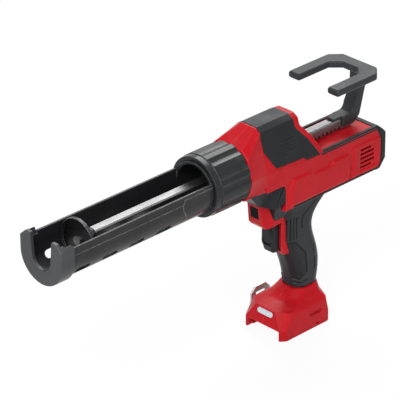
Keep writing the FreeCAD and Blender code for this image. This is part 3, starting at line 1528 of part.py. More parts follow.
os.makedirs("parts", exist_ok=True)
shell = housing()
pieces = {
    "housing_left": housing_half(shell, 1),
    "housing_right": housing_half(shell, -1),
    "housing_screws": housing_screws(),
    "hump_cover": hump_cover(),
    "rear_bumper": rear_bumper(),
    "nose_pad": nose_pad(),
    "grip_sleeve": grip_sleeve(),
    "work_light_lens": work_light_lens(),
    "work_light_board": work_light_board(),
    "status_window": status_window(),
    "lock_collar": lock_collar(),
    "nose_ring": nose_ring(),
    "cradle": cradle(),
    "nozzle_cap": nozzle_cap(),
    "push_rod": push_rod(),
    "plunger": plunger(),
    "plunger_bolt": plunger_bolt(),
    "pull_handle": pull_handle(),
    "handle_pins": handle_pins(),
    "pinion_shaft": pinion_shaft(),
    "reduction_gear": reduction_gear(),
    "lay_shaft": lay_shaft(),
    "bevel_gear": bevel_gear(),
    "bevel_pinion": bevel_pinion(),
    "gear_plate_left": gear_plate(1),
    "gear_plate_right": gear_plate(-1),
    "gear_spacers": gear_spacers(),
    "shaft_bearings": shaft_bearings(),
    "front_guide": front_guide(),
    "rear_guide": rear_guide(),
    "gearbox_flange": gearbox_flange(),
    "output_bearing": output_bearing(),
    "ring_gear": ring_gear(),
    "planet_carrier": planet_carrier(),
    "planet_gear_1": planet_gear(0),
    "planet_gear_2": planet_gear(1),
    "planet_gear_3": planet_gear(2),
    "rotor_shaft": rotor_shaft(),
    "rotor_core": rotor_core(),
    "motor_fan": motor_fan(),
    "motor_plate": motor_plate(),
    "motor_bearings": motor_bearings(),
    "motor_bridge": motor_bridge(),
    "stator_core": stator_core(),
    "stator_coils": stator_coils(),
    "trigger": trigger(),
    "trigger_spring": trigger_spring(),
    "switch_body": switch_body(),
    "belt_hook": belt_hook(),
    "belt_hook_screw": belt_hook_screw(),
    "terminal_block": terminal_opening(),
    "terminal_blades": terminal_blades(),
    "control_board": control_board(),
}
for name, shape in pieces.items():
    write(name, shape)
    print(name, len(shape.Solids), shape.isValid(), round(shape.Volume))
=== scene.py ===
import json
import math

import bmesh
import bpy
from mathutils import Matrix, Vector
from mathutils.geometry import intersect_point_line
import numpy as np


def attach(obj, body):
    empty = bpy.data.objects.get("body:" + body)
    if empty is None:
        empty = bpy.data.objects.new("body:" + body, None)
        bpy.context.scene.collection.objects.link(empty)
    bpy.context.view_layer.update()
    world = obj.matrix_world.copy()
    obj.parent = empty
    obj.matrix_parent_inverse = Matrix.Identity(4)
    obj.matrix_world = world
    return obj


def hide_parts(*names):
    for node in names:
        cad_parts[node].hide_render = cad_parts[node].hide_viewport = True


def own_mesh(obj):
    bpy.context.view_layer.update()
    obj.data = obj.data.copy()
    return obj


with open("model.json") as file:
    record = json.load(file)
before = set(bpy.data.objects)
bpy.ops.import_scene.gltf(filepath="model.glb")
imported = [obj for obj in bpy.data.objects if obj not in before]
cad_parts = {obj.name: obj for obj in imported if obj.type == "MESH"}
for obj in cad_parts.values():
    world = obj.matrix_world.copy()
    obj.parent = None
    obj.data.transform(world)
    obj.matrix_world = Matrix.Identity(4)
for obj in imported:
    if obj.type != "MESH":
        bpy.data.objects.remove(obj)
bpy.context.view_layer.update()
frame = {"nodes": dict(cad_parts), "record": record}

# The caulking tool's looks, in metres. +X is the way it dispenses, +Y its left, +Z up.
MM = 0.001
ROD_HEIGHT = 0.220


# Node trees

def new_group(name, inputs, outputs):
    """Empty shader node group with named value sockets."""
    tree = bpy.data.node_groups.new(name, "ShaderNodeTree")
    for label, value in inputs:
        socket = tree.interface.new_socket(label, in_out="INPUT", socket_type="NodeSocketFloat")
        socket.default_value = value
    for label in outputs:
        tree.interface.new_socket(label, in_out="OUTPUT", socket_type="NodeSocketFloat")
    return tree, tree.nodes.new("NodeGroupInput"), tree.nodes.new("NodeGroupOutput")


def maths(tree, operation, first, second=None, clamp=False):
    node = tree.nodes.new("ShaderNodeMath")
    node.operation = operation
    node.use_clamp = clamp
    for socket, value in zip(node.inputs, (first, second)):
        feed(tree, socket, value)
    return node.outputs[0]


def feed(tree, socket, value):
    if value is None:
        return
    if isinstance(value, bpy.types.NodeSocket):
        tree.links.new(value, socket)
    else:
        socket.default_value = value


def ranged(tree, value, low, high, to_low=0.0, to_high=1.0):
    node = tree.nodes.new("ShaderNodeMapRange")
    node.interpolation_type = "SMOOTHSTEP"
    for socket, item in zip(node.inputs, (value, low, high, to_low, to_high)):
        feed(tree, socket, item)
    return node.outputs[0]


def place(tree, scale=None, stretch=(1, 1, 1)):
    """Object coordinates, stretched, then multiplied by a scale socket."""
    coordinates = tree.nodes.new("ShaderNodeTexCoord").outputs["Object"]
    mapping = tree.nodes.new("ShaderNodeMapping")
    mapping.inputs["Scale"].default_value = stretch
    tree.links.new(coordinates, mapping.inputs["Vector"])
    if scale is None:
        return mapping.outputs[0]
    scaled = tree.nodes.new("ShaderNodeVectorMath")
    scaled.operation = "SCALE"
    tree.links.new(mapping.outputs[0], scaled.inputs[0])
    feed(tree, scaled.inputs["Scale"], scale)
    return scaled.outputs[0]


def noise(tree, vector, scale, detail=3.0, rough=0.55):
    node = tree.nodes.new("ShaderNodeTexNoise")
    tree.links.new(vector, node.inputs["Vector"])
    node.inputs["Scale"].default_value = scale
    node.inputs["Detail"].default_value = detail
    node.inputs["Roughness"].default_value = rough
    return node.outputs["Fac"]


# Patterns of the surfaces. Counts are per metre, ranges are of the noise's value.
MOULD_GRAINS = 1600.0
CELL_SCALE = 0.8
CELL_SHARE = 0.4
FINE_DETAIL = 2.0
BROAD_DETAIL = 4.0
MOTTLES = 38.0
MOTTLE_RANGE = (0.3, 0.7)
EDGE_WIDTH = 0.9 * MM
EDGE_PATCHES = 260.0
EDGE_SAMPLES = 4
EDGE_TURN = (0.995, 0.93)           # likeness of plain and rounded normal, from face to edge
EDGE_BREAKS = (0.25, 0.7, 0.25, 1.0)
DUST_PATCHES = 55.0
DUST_SLOPE = (0.5, 0.98)
DUST_RANGE = (0.4, 0.75)
DRAWN_LINES = 5200.0
DRAWN_STRETCH = (0.012, 1.0, 1.0)
DRAWN_ROUGH = 0.6
TONE_BANDS = 420.0
TONE_STRETCH = (0.12, 1.0, 1.0)


def moulded_grain():
    """Spark-eroded mould texture: fine pits and a broad, faint mottle."""
    tree, start, end = new_group("moulded_grain", [("Grains per metre", MOULD_GRAINS)],
                                 ["Height", "Mottle"])
    vector = place(tree, start.outputs[0])
    fine = noise(tree, vector, 1.0, FINE_DETAIL)
    cells = tree.nodes.new("ShaderNodeTexVoronoi")
    cells.feature = "SMOOTH_F1"
    cells.inputs["Scale"].default_value = CELL_SCALE
    tree.links.new(vector, cells.inputs["Vector"])
    height = maths(tree, "ADD", maths(tree, "MULTIPLY", fine, 1 - CELL_SHARE),
                   maths(tree, "MULTIPLY", cells.outputs["Distance"], CELL_SHARE))
    tree.links.new(height, end.inputs["Height"])
    broad = noise(tree, place(tree), MOTTLES, BROAD_DETAIL)
    tree.links.new(ranged(tree, broad, *MOTTLE_RANGE), end.inputs["Mottle"])
    return tree


def lit_and_worn_edges():
    """Mask of the outer edges, broken up by noise, where the finishes paint a highlight as well as
    the wear of hands and benches.
    """
    tree, start, end = new_group("lit_and_worn_edges", [("Width", EDGE_WIDTH), ("Breakup", EDGE_PATCHES)],
                                 ["Mask"])
    rounded = tree.nodes.new("ShaderNodeBevel")
    rounded.samples = EDGE_SAMPLES
    tree.links.new(start.outputs["Width"], rounded.inputs["Radius"])
    surface = tree.nodes.new("ShaderNodeNewGeometry")
    alike = tree.nodes.new("ShaderNodeVectorMath")
    alike.operation = "DOT_PRODUCT"
    tree.links.new(rounded.outputs[0], alike.inputs[0])
    tree.links.new(surface.outputs["Normal"], alike.inputs[1])
    edge = ranged(tree, alike.outputs["Value"], *EDGE_TURN)
    broken = noise(tree, place(tree, start.outputs["Breakup"]), 1.0)
    tree.links.new(maths(tree, "MULTIPLY", edge, ranged(tree, broken, *EDGE_BREAKS)),
                   end.inputs["Mask"])
    return tree


def settled_dust():
    """Mask of faces that look up, in soft patches."""
    tree, start, end = new_group("settled_dust", [("Patches", DUST_PATCHES)], ["Mask"])
    surface = tree.nodes.new("ShaderNodeNewGeometry")
    parts = tree.nodes.new("ShaderNodeSeparateXYZ")
    tree.links.new(surface.outputs["Normal"], parts.inputs[0])
    upward = ranged(tree, parts.outputs["Z"], *DUST_SLOPE)
    patches = noise(tree, place(tree, start.outputs[0]), 1.0, BROAD_DETAIL)
    patch = ranged(tree, patches, *DUST_RANGE)
    tree.links.new(maths(tree, "MULTIPLY", upward, patch), end.inputs["Mask"])
    return tree


def drawn_lines():
    """Fine lines left by drawing or grinding a bar along the tool."""
    tree, start, end = new_group("drawn_lines", [("Lines per metre", DRAWN_LINES)],
                                 ["Height", "Tone"])
    vector = place(tree, start.outputs[0], DRAWN_STRETCH)
    lines = noise(tree, vector, 1.0, rough=DRAWN_ROUGH)
    tree.links.new(lines, end.inputs["Height"])
    broad = noise(tree, place(tree, None, TONE_STRETCH), TONE_BANDS)
    tree.links.new(ranged(tree, broad, *MOTTLE_RANGE), end.inputs["Tone"])
    return tree


GRAIN = moulded_grain()
EDGES = lit_and_worn_edges()
DUST = settled_dust()
LINES = drawn_lines()


# Finishes

def linear(red, green, blue):
    """Display colour, 0 to 255, as the shader's linear colour."""
    def one(value):
        value /= 255
        return value / 12.92 if value <= 0.04045 else ((value + 0.055) / 1.055) ** 2.4
    return one(red), one(green), one(blue), 1.0


def use(tree, group, **values):
    node = tree.nodes.new("ShaderNodeGroup")
    node.node_tree = group
    for label, value in values.items():
        node.inputs[label.replace("_", " ")].default_value = value
    return node.outputs


def blended(tree, mask, first, second):
    """Colour that goes from first to second with the mask."""
    node = tree.nodes.new("ShaderNodeMix")
    node.data_type = "RGBA"
    feed(tree, node.inputs[0], mask)
    feed(tree, node.inputs[6], first)
    feed(tree, node.inputs[7], second)
    return node.outputs[2]


def bumped(tree, height, strength, distance):
    node = tree.nodes.new("ShaderNodeBump")
    node.inputs["Strength"].default_value = strength
    node.inputs["Distance"].default_value = distance
    tree.links.new(height, node.inputs["Height"])
    return node.outputs[0]


def new_finish(name):
    material = bpy.data.materials.new(name)
    material.use_nodes = True
    shader = material.node_tree.nodes["Principled BSDF"]
    return material, material.node_tree, shader


DUST_COLOUR = linear(205, 203, 198)
# Colour that metal edges go towards: partly wear, partly a painted highlight.
BRIGHT_STEEL = linear(235, 235, 232)
GRAIN_HEIGHT = 0.12 * MM
ROUGH_SPREAD = 0.10                 # how much the roughness varies with the mottle
RUBBED_SHINE = 0.08
METAL_EDGE = 0.5 * MM
DRAWN_HEIGHT = 0.04 * MM
DRAWN_DULLING = 0.22
PRISMS = 420.0
PRISM_HEIGHT = 0.1 * MM
PRISM_STRENGTH = 0.15
LENS_CLOUD = 0.08
COAT_ROUGH = 0.08
BOARD_GRAINS = 900.0
TRACKS = 420.0
TRACK_GAP = 0.03
TRACK_HEIGHT = 0.05 * MM
TRACK_STRENGTH = 0.3
BOARD_ROUGH = 0.3
BOARD_SPREAD = 0.1
BOARD_MOTTLE = 0.2


def moulding(name, colour, deep, edge, rough, grain=MOULD_GRAINS, depth=0.5, dust=0.04, highlight_and_wear=0.35,
             gloss=0.35, hollow=None):
    """Moulded plastic or rubber with mould grain, edges lightened as wear and as a painted
    highlight, a trace of dust, and painted shade in the pressed hollows where a hollow colour is
    given.
    """
    material, tree, shader = new_finish(name)
    mould = use(tree, GRAIN, Grains_per_metre=grain)
    edge_mask_lit_worn = use(tree, EDGES)["Mask"]
    dusty = use(tree, DUST)["Mask"]
    tone = blended(tree, mould["Mottle"], deep, colour)
    # Painted highlight along the edges, with some wear: the tone goes towards the edge colour.
    tone = blended(tree, maths(tree, "MULTIPLY", edge_mask_lit_worn, highlight_and_wear), tone, edge)
    tone = blended(tree, maths(tree, "MULTIPLY", dusty, dust), tone, DUST_COLOUR)
    # Painted shade in the hollows: the tone goes darker, towards the hollow colour, as deep as the
    # surface is pressed in.
    if hollow:
        pressed = tree.nodes.new("ShaderNodeAttribute")
        pressed.attribute_name = "pressed"
        tone = blended(tree, pressed.outputs["Fac"], tone, hollow)
    tree.links.new(tone, shader.inputs["Base Color"])
    varied = maths(tree, "SUBTRACT", rough + ROUGH_SPREAD / 2,
                   maths(tree, "MULTIPLY", mould["Mottle"], ROUGH_SPREAD))
    polished = maths(tree, "MULTIPLY", edge_mask_lit_worn, RUBBED_SHINE)
    shine = maths(tree, "SUBTRACT", varied, polished, clamp=True)
    tree.links.new(shine, shader.inputs["Roughness"])
    tree.links.new(bumped(tree, mould["Height"], depth, GRAIN_HEIGHT), shader.inputs["Normal"])
    shader.inputs["Specular IOR Level"].default_value = gloss
    return material


def metal(name, colour, dark, rough, lines=DRAWN_LINES, depth=0.25, highlight_and_wear=0.3):
    """Drawn or ground metal with fine lines, a little dulling, and edges lightened towards bright
    steel as wear and as a painted highlight.
    """
    material, tree, shader = new_finish(name)
    drawn = use(tree, LINES, Lines_per_metre=lines)
    edge_mask_lit_worn = use(tree, EDGES, Width=METAL_EDGE)["Mask"]
    tone = blended(tree, drawn["Tone"], dark, colour)
    # Painted highlight along the edges, with some wear: the tone goes towards bright steel.
    tone = blended(tree, maths(tree, "MULTIPLY", edge_mask_lit_worn, highlight_and_wear), tone, BRIGHT_STEEL)
    tree.links.new(tone, shader.inputs["Base Color"])
    dull = maths(tree, "ADD", maths(tree, "MULTIPLY", drawn["Height"], DRAWN_DULLING),
                 rough - DRAWN_DULLING / 2)
    tree.links.new(dull, shader.inputs["Roughness"])
    tree.links.new(bumped(tree, drawn["Height"], depth, DRAWN_HEIGHT), shader.inputs["Normal"])
    shader.inputs["Metallic"].default_value = 1.0
    return material


def lens_finish(name, colour, deep, rough, coat, gloss):
    """Moulded lens, slightly clouded, with fine prisms in its face."""
    material, tree, shader = new_finish(name)
    mould = use(tree, GRAIN, Grains_per_metre=PRISMS)
    tree.links.new(blended(tree, mould["Mottle"], deep, colour), shader.inputs["Base Color"])
    tree.links.new(maths(tree, "ADD", maths(tree, "MULTIPLY", mould["Mottle"], LENS_CLOUD), rough),
                   shader.inputs["Roughness"])
    prisms = bumped(tree, mould["Height"], PRISM_STRENGTH, PRISM_HEIGHT)
    tree.links.new(prisms, shader.inputs["Normal"])
    shader.inputs["Coat Weight"].default_value = coat
    shader.inputs["Coat Roughness"].default_value = COAT_ROUGH
    shader.inputs["Specular IOR Level"].default_value = gloss
    return material


def circuit_finish(name):
    """Green solder mask over copper tracks."""
    material, tree, shader = new_finish(name)
    mould = use(tree, GRAIN, Grains_per_metre=BOARD_GRAINS)
    tracks = tree.nodes.new("ShaderNodeTexBrick")
    tracks.inputs["Scale"].default_value = TRACKS
    tracks.inputs["Mortar Size"].default_value = TRACK_GAP
    tree.links.new(place(tree), tracks.inputs["Vector"])
    tone = blended(tree, tracks.outputs["Fac"], linear(22, 84, 44), linear(46, 128, 70))
    mottle = maths(tree, "MULTIPLY", mould["Mottle"], BOARD_MOTTLE)
    tone = blended(tree, mottle, tone, linear(14, 60, 34))
    tree.links.new(tone, shader.inputs["Base Color"])
    varied = maths(tree, "MULTIPLY", mould["Mottle"], BOARD_SPREAD)
    tree.links.new(maths(tree, "ADD", varied, BOARD_ROUGH), shader.inputs["Roughness"])
    tree.links.new(bumped(tree, tracks.outputs["Fac"], TRACK_STRENGTH, TRACK_HEIGHT),
                   shader.inputs["Normal"])
    return material


FINISHES = {
    # The red shell's pale edge colour is mostly a painted highlight along its edges, with a little
    # wear.
    "red_shell": moulding(
        "red_shell_plastic", linear(186, 18, 30), linear(178, 15, 26), linear(232, 96, 100),
        rough=0.34, grain=1500.0, depth=0.25, dust=0.02, highlight_and_wear=0.5, gloss=0.13),
    "soft_grip": moulding(
        "soft_grip_rubber", linear(37, 39, 42), linear(31, 33, 35), linear(78, 81, 84),
        rough=0.38, grain=1900.0, gloss=0.13),
    # The cradle's light edge colour, strongly laid on, is mostly a painted highlight along its rims
    # and edges, with some wear.
    "black_plastic": moulding(
        "cradle_black_plastic", linear(32, 32, 34), linear(25, 25, 27), linear(128, 130, 133),
        rough=0.36, grain=1300.0, depth=0.35, highlight_and_wear=0.8, gloss=0.3),
    "grey_plastic": moulding(
        "inner_grey_plastic", linear(96, 98, 100), linear(84, 86, 88), linear(130, 132, 134),
        rough=0.5),
    # The work light lens is coloured near black to paint the shade of the lamp's recess on it.
    "clear_lens": lens_finish(
        "work_light_lens_painted_shade", linear(6, 6, 7), linear(4, 4, 5), rough=0.22, coat=0.0, gloss=0.05),
    "circuit_board": circuit_finish("circuit_board_green"),
    "rod_steel": metal(
        "push_rod_steel", linear(138, 138, 138), linear(116, 116, 117), rough=0.40),
    "hardware_steel": metal(
        "plated_hardware", linear(150, 149, 147), linear(128, 127, 126), rough=0.38),
    "gear_steel": metal(
        "gear_steel", linear(152, 152, 150), linear(118, 118, 118), rough=0.36, lines=3000.0),
    "cast_alloy": moulding(
        "cast_alloy", linear(165, 166, 166), linear(140, 141, 142), linear(200, 200, 200),
        rough=0.45, grain=900.0, depth=0.8),
    "copper": metal(
        "copper_wire", linear(200, 118, 74), linear(164, 88, 52), rough=0.35, lines=2600.0),
}
CAST_METALLIC = 0.8
cast_shader = FINISHES["cast_alloy"].node_tree.nodes["Principled BSDF"]
cast_shader.inputs["Metallic"].default_value = CAST_METALLIC
# The collar's pale edge colour is partly a painted highlight on its ridges and edges, partly wear.
COLLAR = moulding(
    "collar_grey_plastic", linear(36, 37, 39), linear(30, 31, 33), linear(110, 113, 116),
    rough=0.22, grain=1300.0, depth=0.2, highlight_and_wear=0.5, gloss=0.22)
HANDLE = moulding(
    "pull_handle_plastic", linear(50, 53, 55), linear(44, 47, 49), linear(104, 107, 110),
    rough=0.36, grain=1300.0, depth=0.35, gloss=0.16)
# The cap's grey is lighter than the cradle's black plastic, painting in part the light that falls
# on its front face.
CAP_PAINTED_LIGHT = moulding(
    "nozzle_cap_plastic_painted_light", linear(60, 61, 64), linear(52, 53, 56), linear(104, 106, 110),
    rough=0.38, grain=1300.0, depth=0.35, gloss=0.36)
# The grip's hollow colour is painted shade: its finish darkens the moulded lines and palm panels as
# deep as they are pressed in.
GRIP = moulding(
    "grip_sleeve_rubber_painted_groove_shade", linear(47, 49, 52), linear(41, 43, 45), linear(84, 87, 90),
    rough=0.38, grain=1900.0, gloss=0.16, hollow=linear(16, 16, 18))
# Bright steel on the plunger's edges paints its thin bright rim as a highlight, with some wear.
PLUNGER = metal(
    "plunger_dark_steel", linear(74, 74, 76), linear(52, 52, 54), rough=0.42, lines=2600.0,
    highlight_and_wear=0.9)
HOOK = metal(
    "belt_hook_plated", linear(205, 204, 202), linear(186, 185, 183), rough=0.5, lines=3000.0)
WINDOW = lens_finish(
    "status_window_pale", linear(206, 213, 219), linear(196, 204, 211), rough=0.28, coat=0.5,
    gloss=0.5)
NODE_SLOT = {part["node"]: part.get("material_slot") for part in frame["record"]["subparts"]}


# Shaping helpers

WELD = 0.004 * MM
FLAT_ANGLE = math.radians(0.5)


def welded(mesh):
    """Working copy of a mesh with its doubled points joined."""
    shape = bmesh.new()
    shape.from_mesh(mesh)
    bmesh.ops.remove_doubles(shape, verts=shape.verts, dist=WELD)
    return shape


def merged_copy(node):
    """Closed copy of a CAD node's mesh."""
    return welded(frame["nodes"][node].data)


def flat_faces(shape):
    """Joins the triangles of each flat face, then parts hollow outlines into simple ones."""
    bmesh.ops.dissolve_limit(shape, angle_limit=FLAT_ANGLE, verts=shape.verts, edges=shape.edges,
                             use_dissolve_boundaries=False)
    bmesh.ops.connect_verts_concave(shape, faces=shape.faces[:])
    return shape


def to_mesh(name, shape):
    mesh = bpy.data.meshes.new(name)
    shape.to_mesh(mesh)
    shape.free()
    return mesh


def in_scene(name, data):
    piece = bpy.data.objects.new(name, data)
    bpy.context.scene.collection.objects.link(piece)
    return piece


def settled(piece):
    """Plain mesh of a working object with its modifiers applied; the object goes."""
    graph = bpy.context.evaluated_depsgraph_get()
    mesh = bpy.data.meshes.new_from_object(piece.evaluated_get(graph))
    bpy.data.objects.remove(piece)
    return mesh


SEAM = 0.02 * MM            # edges this near the middle plane are the line where two mouldings meet
SEAM_ROUND = 0.15 * MM
ROD_ROOM = 8.0 * MM         # hollow corners this near the rod's axis stay sharp, clear of the rod
LEAST_ROUND = 0.08 * MM
SHARP_ANGLE = math.radians(40)
ROOM_SHARE = 1 / 2.4
SHADING_WEIGHT = 60
RING_REACH = 0.001 * MM
EDGE_LEAST = 24             # degrees between two faces from which an edge is rounded


def room_beside(edge):
    """How far the narrower of an edge's two faces reaches from it."""
    a, b = edge.verts[0].co, edge.verts[1].co
    reach = []
    for face in edge.link_faces:
        spots = [vert.co for vert in face.verts]
        reach.append(max((spot - intersect_point_line(spot, a, b)[0]).length for spot in spots))
    return min(reach)


def weigh_edges(shape, width, softness, least):
    """Gives each sharp edge its share of the rounding, as far as its faces have room."""
    weight = shape.edges.layers.float.new("bevel_weight_edge")
    for edge in shape.edges:
        edge.smooth = True
        if len(edge.link_faces) != 2 or edge.calc_face_angle(0) < math.radians(least):
            continue
        middle = (edge.verts[0].co + edge.verts[1].co) / 2
        if not edge.is_convex and max(abs(middle.y), abs(middle.z - ROD_HEIGHT)) < ROD_ROOM:
            edge.smooth = False
            continue
        on_seam = all(abs(vert.co.y) < SEAM for vert in edge.verts)
        wanted = min(width, softness(middle, edge.calc_face_angle(0))) if softness else width
        share = min(SEAM_ROUND if on_seam else wanted, room_beside(edge) * ROOM_SHARE) / width
        if share * width > LEAST_ROUND:
            edge[weight] = share
        else:
            edge.smooth = edge.calc_face_angle(0) < SHARP_ANGLE


def finished(name, mesh, finish, body):
    """Visible piece with its finish, riding on a body."""
    mesh.materials.clear()
    mesh.materials.append(finish)
    for face in mesh.polygons:
        face.use_smooth = True
        face.material_index = 0
    piece = in_scene(name, mesh)
    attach(piece, body)
    return piece


def dressed(node, body, finish, width, segments=3, least=EDGE_LEAST, softness=None, shape=None,
            rings=()):
    """Stands for a CAD node: its shape with rounded edges, long faces parted at each ring's x."""
    shape = flat_faces(shape or merged_copy(node))
    for x in rings:
        everything = shape.verts[:] + shape.edges[:] + shape.faces[:]
        bmesh.ops.bisect_plane(shape, geom=everything, dist=RING_REACH, plane_co=(x, 0, 0),
                               plane_no=(1, 0, 0))
    weigh_edges(shape, width, softness, least)
    name = node + "_dressed"
    piece = finished(name, to_mesh(name, shape), finish, body)
    bevel = piece.modifiers.new("rounded edges", "BEVEL")
    bevel.limit_method = "WEIGHT"
    bevel.width = width
    bevel.segments = segments
    bevel.use_clamp_overlap = False
    even = piece.modifiers.new("even shading", "WEIGHTED_NORMAL")
    even.keep_sharp = True
    even.weight = SHADING_WEIGHT
    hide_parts(node)


# Copies of one small piece at a set of places

def copies_tree():
    """Geometry nodes: one piece at every place, stretched by the place's own amount."""
    tree = bpy.data.node_groups.new("copies_at_places", "GeometryNodeTree")
    for label, kind in (("Places", "NodeSocketGeometry"), ("Piece", "NodeSocketObject"),
                        ("Finish", "NodeSocketMaterial")):
        tree.interface.new_socket(label, in_out="INPUT", socket_type=kind)
    tree.interface.new_socket("Copies", in_out="OUTPUT", socket_type="NodeSocketGeometry")
    start, end = tree.nodes.new("NodeGroupInput"), tree.nodes.new("NodeGroupOutput")
    piece = tree.nodes.new("GeometryNodeObjectInfo")
    stretch = tree.nodes.new("GeometryNodeInputNamedAttribute")
    stretch.data_type = "FLOAT_VECTOR"
    stretch.inputs["Name"].default_value = "stretch"
    each = tree.nodes.new("GeometryNodeInstanceOnPoints")
    real = tree.nodes.new("GeometryNodeRealizeInstances")
    paint = tree.nodes.new("GeometryNodeSetMaterial")
    tree.links.new(start.outputs["Piece"], piece.inputs["Object"])
    tree.links.new(start.outputs["Places"], each.inputs["Points"])
    tree.links.new(piece.outputs["Geometry"], each.inputs["Instance"])
    tree.links.new(stretch.outputs["Attribute"], each.inputs["Scale"])
    tree.links.new(each.outputs["Instances"], real.inputs[0])
    tree.links.new(real.outputs[0], paint.inputs["Geometry"])
    tree.links.new(start.outputs["Finish"], paint.inputs["Material"])
    tree.links.new(paint.outputs[0], end.inputs[0])
    return tree


COPIES = copies_tree()


def copies(name, piece, places, finish):
    """Mesh with a copy of the piece at each (place, stretch)."""
    points = bpy.data.meshes.new(name)
    points.from_pydata([place for place, _ in places], [], [])
    stretch = points.attributes.new("stretch", "FLOAT_VECTOR", "POINT")
    for item, (_, amount) in zip(stretch.data, places):
        item.vector = amount
    holder = in_scene(name, points)
    nodes = holder.modifiers.new("copies", "NODES")
    nodes.node_group = COPIES
    values = {"Piece": piece, "Finish": finish}
    for item in COPIES.interface.items_tree:
        if item.in_out == "INPUT" and item.name in values:
            nodes[item.identifier] = values[item.name]
    return settled(holder)


# Hump cover with the grooves of its side panels

HUMP_SHOULDER = (17.2 * MM, 40.4 * MM)      # y and z of the panel's upper edge, from the rod's axis
HUMP_WAIST = (29.0 * MM, -4.0 * MM)
COVER_PROUD = 0.5 * MM
GROOVES = ((25.5, 22.4, 1.0), (25.5, 18.6, 1.0), (25.5, 14.8, 1.0), (25.5, 11.5, 1.0),
           (32.0, 8.4, 0.6))                # x and z in millimetres, and share of the full length
GROOVE_LENGTH = 25.0 * MM
GROOVE_HALF = 0.75 * MM
GROOVE_DEPTH = 0.9 * MM
GROOVE_SECTION = ((-1.0, 0.55), (2.0, 1.6))     # shares of depth and half-width at floor and mouth
GROOVE_SLANT = 0.6


def groove_bar(side):
    """Six-sided bar with sloping ends, lying in the leaning panel's plane."""
    (ya, za), (yb, zb) = HUMP_SHOULDER, HUMP_WAIST
    lean = Vector((0, side * (ya - yb), za - zb)).normalized()
    out = Vector((0, lean.z, -lean.y)) * side
    ends = GROOVE_LENGTH / 2
    bar = bmesh.new()
    rows = []
    for deep, slim in GROOVE_SECTION:
        corners = []
        for along, up in ((-1, -1), (1, -1), (1, 1), (-1, 1)):
            x = along * (ends - GROOVE_HALF * (1 - slim)) + up * GROOVE_HALF * GROOVE_SLANT
            spot = Vector((x, 0, 0)) + lean * up * GROOVE_HALF * slim + out * deep * GROOVE_DEPTH
            corners.append(bar.verts.new(spot))
        rows.append(corners)
    bar.faces.new(rows[0])
    bar.faces.new(rows[1])
    for i in range(4):
        j = (i + 1) % 4
        bar.faces.new((rows[0][i], rows[0][j], rows[1][j], rows[1][i]))
    bmesh.ops.recalc_face_normals(bar, faces=bar.faces)
    return in_scene("groove_bar", to_mesh("groove_bar", bar))


def grooved_cover():
    """The hump cover's shape with the grooves cut into both panels."""
    cover = in_scene("cover_blank", to_mesh("cover_blank", merged_copy("hump_cover")))
    (ya, za), (yb, zb) = HUMP_SHOULDER, HUMP_WAIST
    working = []
    for side in (1, -1):
        places = []
        for x, z, stretch in GROOVES:
            y = ya + (yb - ya) * (za - z * MM) / (za - zb) + COVER_PROUD
            places.append(((x * MM, side * y, ROD_HEIGHT + z * MM), (stretch, 1, 1)))
        bar = groove_bar(side)
        bars = in_scene("groove_bars", copies("groove_bars", bar, places, FINISHES["soft_grip"]))
        cut = cover.modifiers.new("grooves", "BOOLEAN")
        cut.operation = "DIFFERENCE"
        cut.solver = "EXACT"
        cut.object = bars
        working += [bar, bars]
    mesh = settled(cover)
    for piece in working:
        bpy.data.objects.remove(piece)
    return welded(mesh)


# Grip sleeve with its ribs, palm panels and grooves

SLEEVE_VOXEL = 0.85 * MM
CALM_SHARE = 0.5
CALM_PASSES = 4
# Lines in millimetres from the rod's axis: (height, x) for the middle, (x, z) for the others
GRIP_MIDDLE = ((-57, -18), (-72, -12.5), (-92, -6), (-111, -7), (-131, -14), (-152, -19),
               (-178, -19.5))
RIB_XS = (14.5, 10.2, 5.8, 1.2)
RIB_ENDS = (-82.0, -108.0)
PALM_PANEL = ((16.0, -110.5), (3.0, -112.5), (-0.7, -116.8), (-12.6, -130.8), (-15.0, -155.2),
              (-6.2, -163.5), (14.0, -157.0))
TANG_GROOVE = ((-30.0, -66.0), (-24.5, -72.5), (-16.8, -78.1), (-9.1, -82.9), (-6.8, -89.7),
               (-6.8, -98.0))
BACK_NOTCHES = (((-24.5, -124.0), (-25.3, -135.0)), ((-26.2, -141.0), (-27.0, -155.0)))
HEEL_GROOVE = ((8.0, -166.5), (-8.0, -168.0), (-16.0, -165.0))


def smooth_step(values):
    held = np.clip(values, 0, 1)
    return held * held * (3 - 2 * held)


def line_distance(points, line):
    """Distance of (x, z) points from a run of straight pieces."""
    best = np.full(len(points), np.inf)
    for a, b in zip(line, line[1:]):
        a, b = np.array(a, float), np.array(b, float)
        along = np.clip((points - a) @ (b - a) / ((b - a) @ (b - a)), 0, 1)
        best = np.minimum(best, np.linalg.norm(points - a - along[:, None] * (b - a), axis=1))
    return best


def inside(points, outline):
    """Whether (x, z) points lie within a closed outline."""
    odd = np.zeros(len(points), bool)
    for (ax, az), (bx, bz) in zip(outline, outline[1:] + outline[:1]):
        crosses = (points[:, 1] < az) != (points[:, 1] < bz)
        odd ^= crosses & (points[:, 0] < ax + (points[:, 1] - az) * (bx - ax) / (bz - az))
    return odd


PALM_EDGE = PALM_PANEL + PALM_PANEL[:1]
GRIP_LINES = ([((x, RIB_ENDS[0]), (x, RIB_ENDS[1])) for x in RIB_XS]
              + [PALM_EDGE, TANG_GROOVE, *BACK_NOTCHES, HEEL_GROOVE])
LINE_DEPTH = 1.1            # depth and half-width of a moulded line, in millimetres
LINE_HALF = 0.75
PANEL_DEPTH = 0.55
LINE_SLOPE = 1.5            # distance, in half-widths, at which a line has run out
FINE_REACH = 2.0            # how far the fine mesh reaches from a line
SIDE_START = 5.0            # distance from the middle plane where the sides' relief begins
SIDE_FADE = 3.0


def side_share(points):
    """1 on the sleeve's sides, fading out towards its front and back."""
    return smooth_step((np.abs(points[:, 1]) - SIDE_START) / SIDE_FADE)


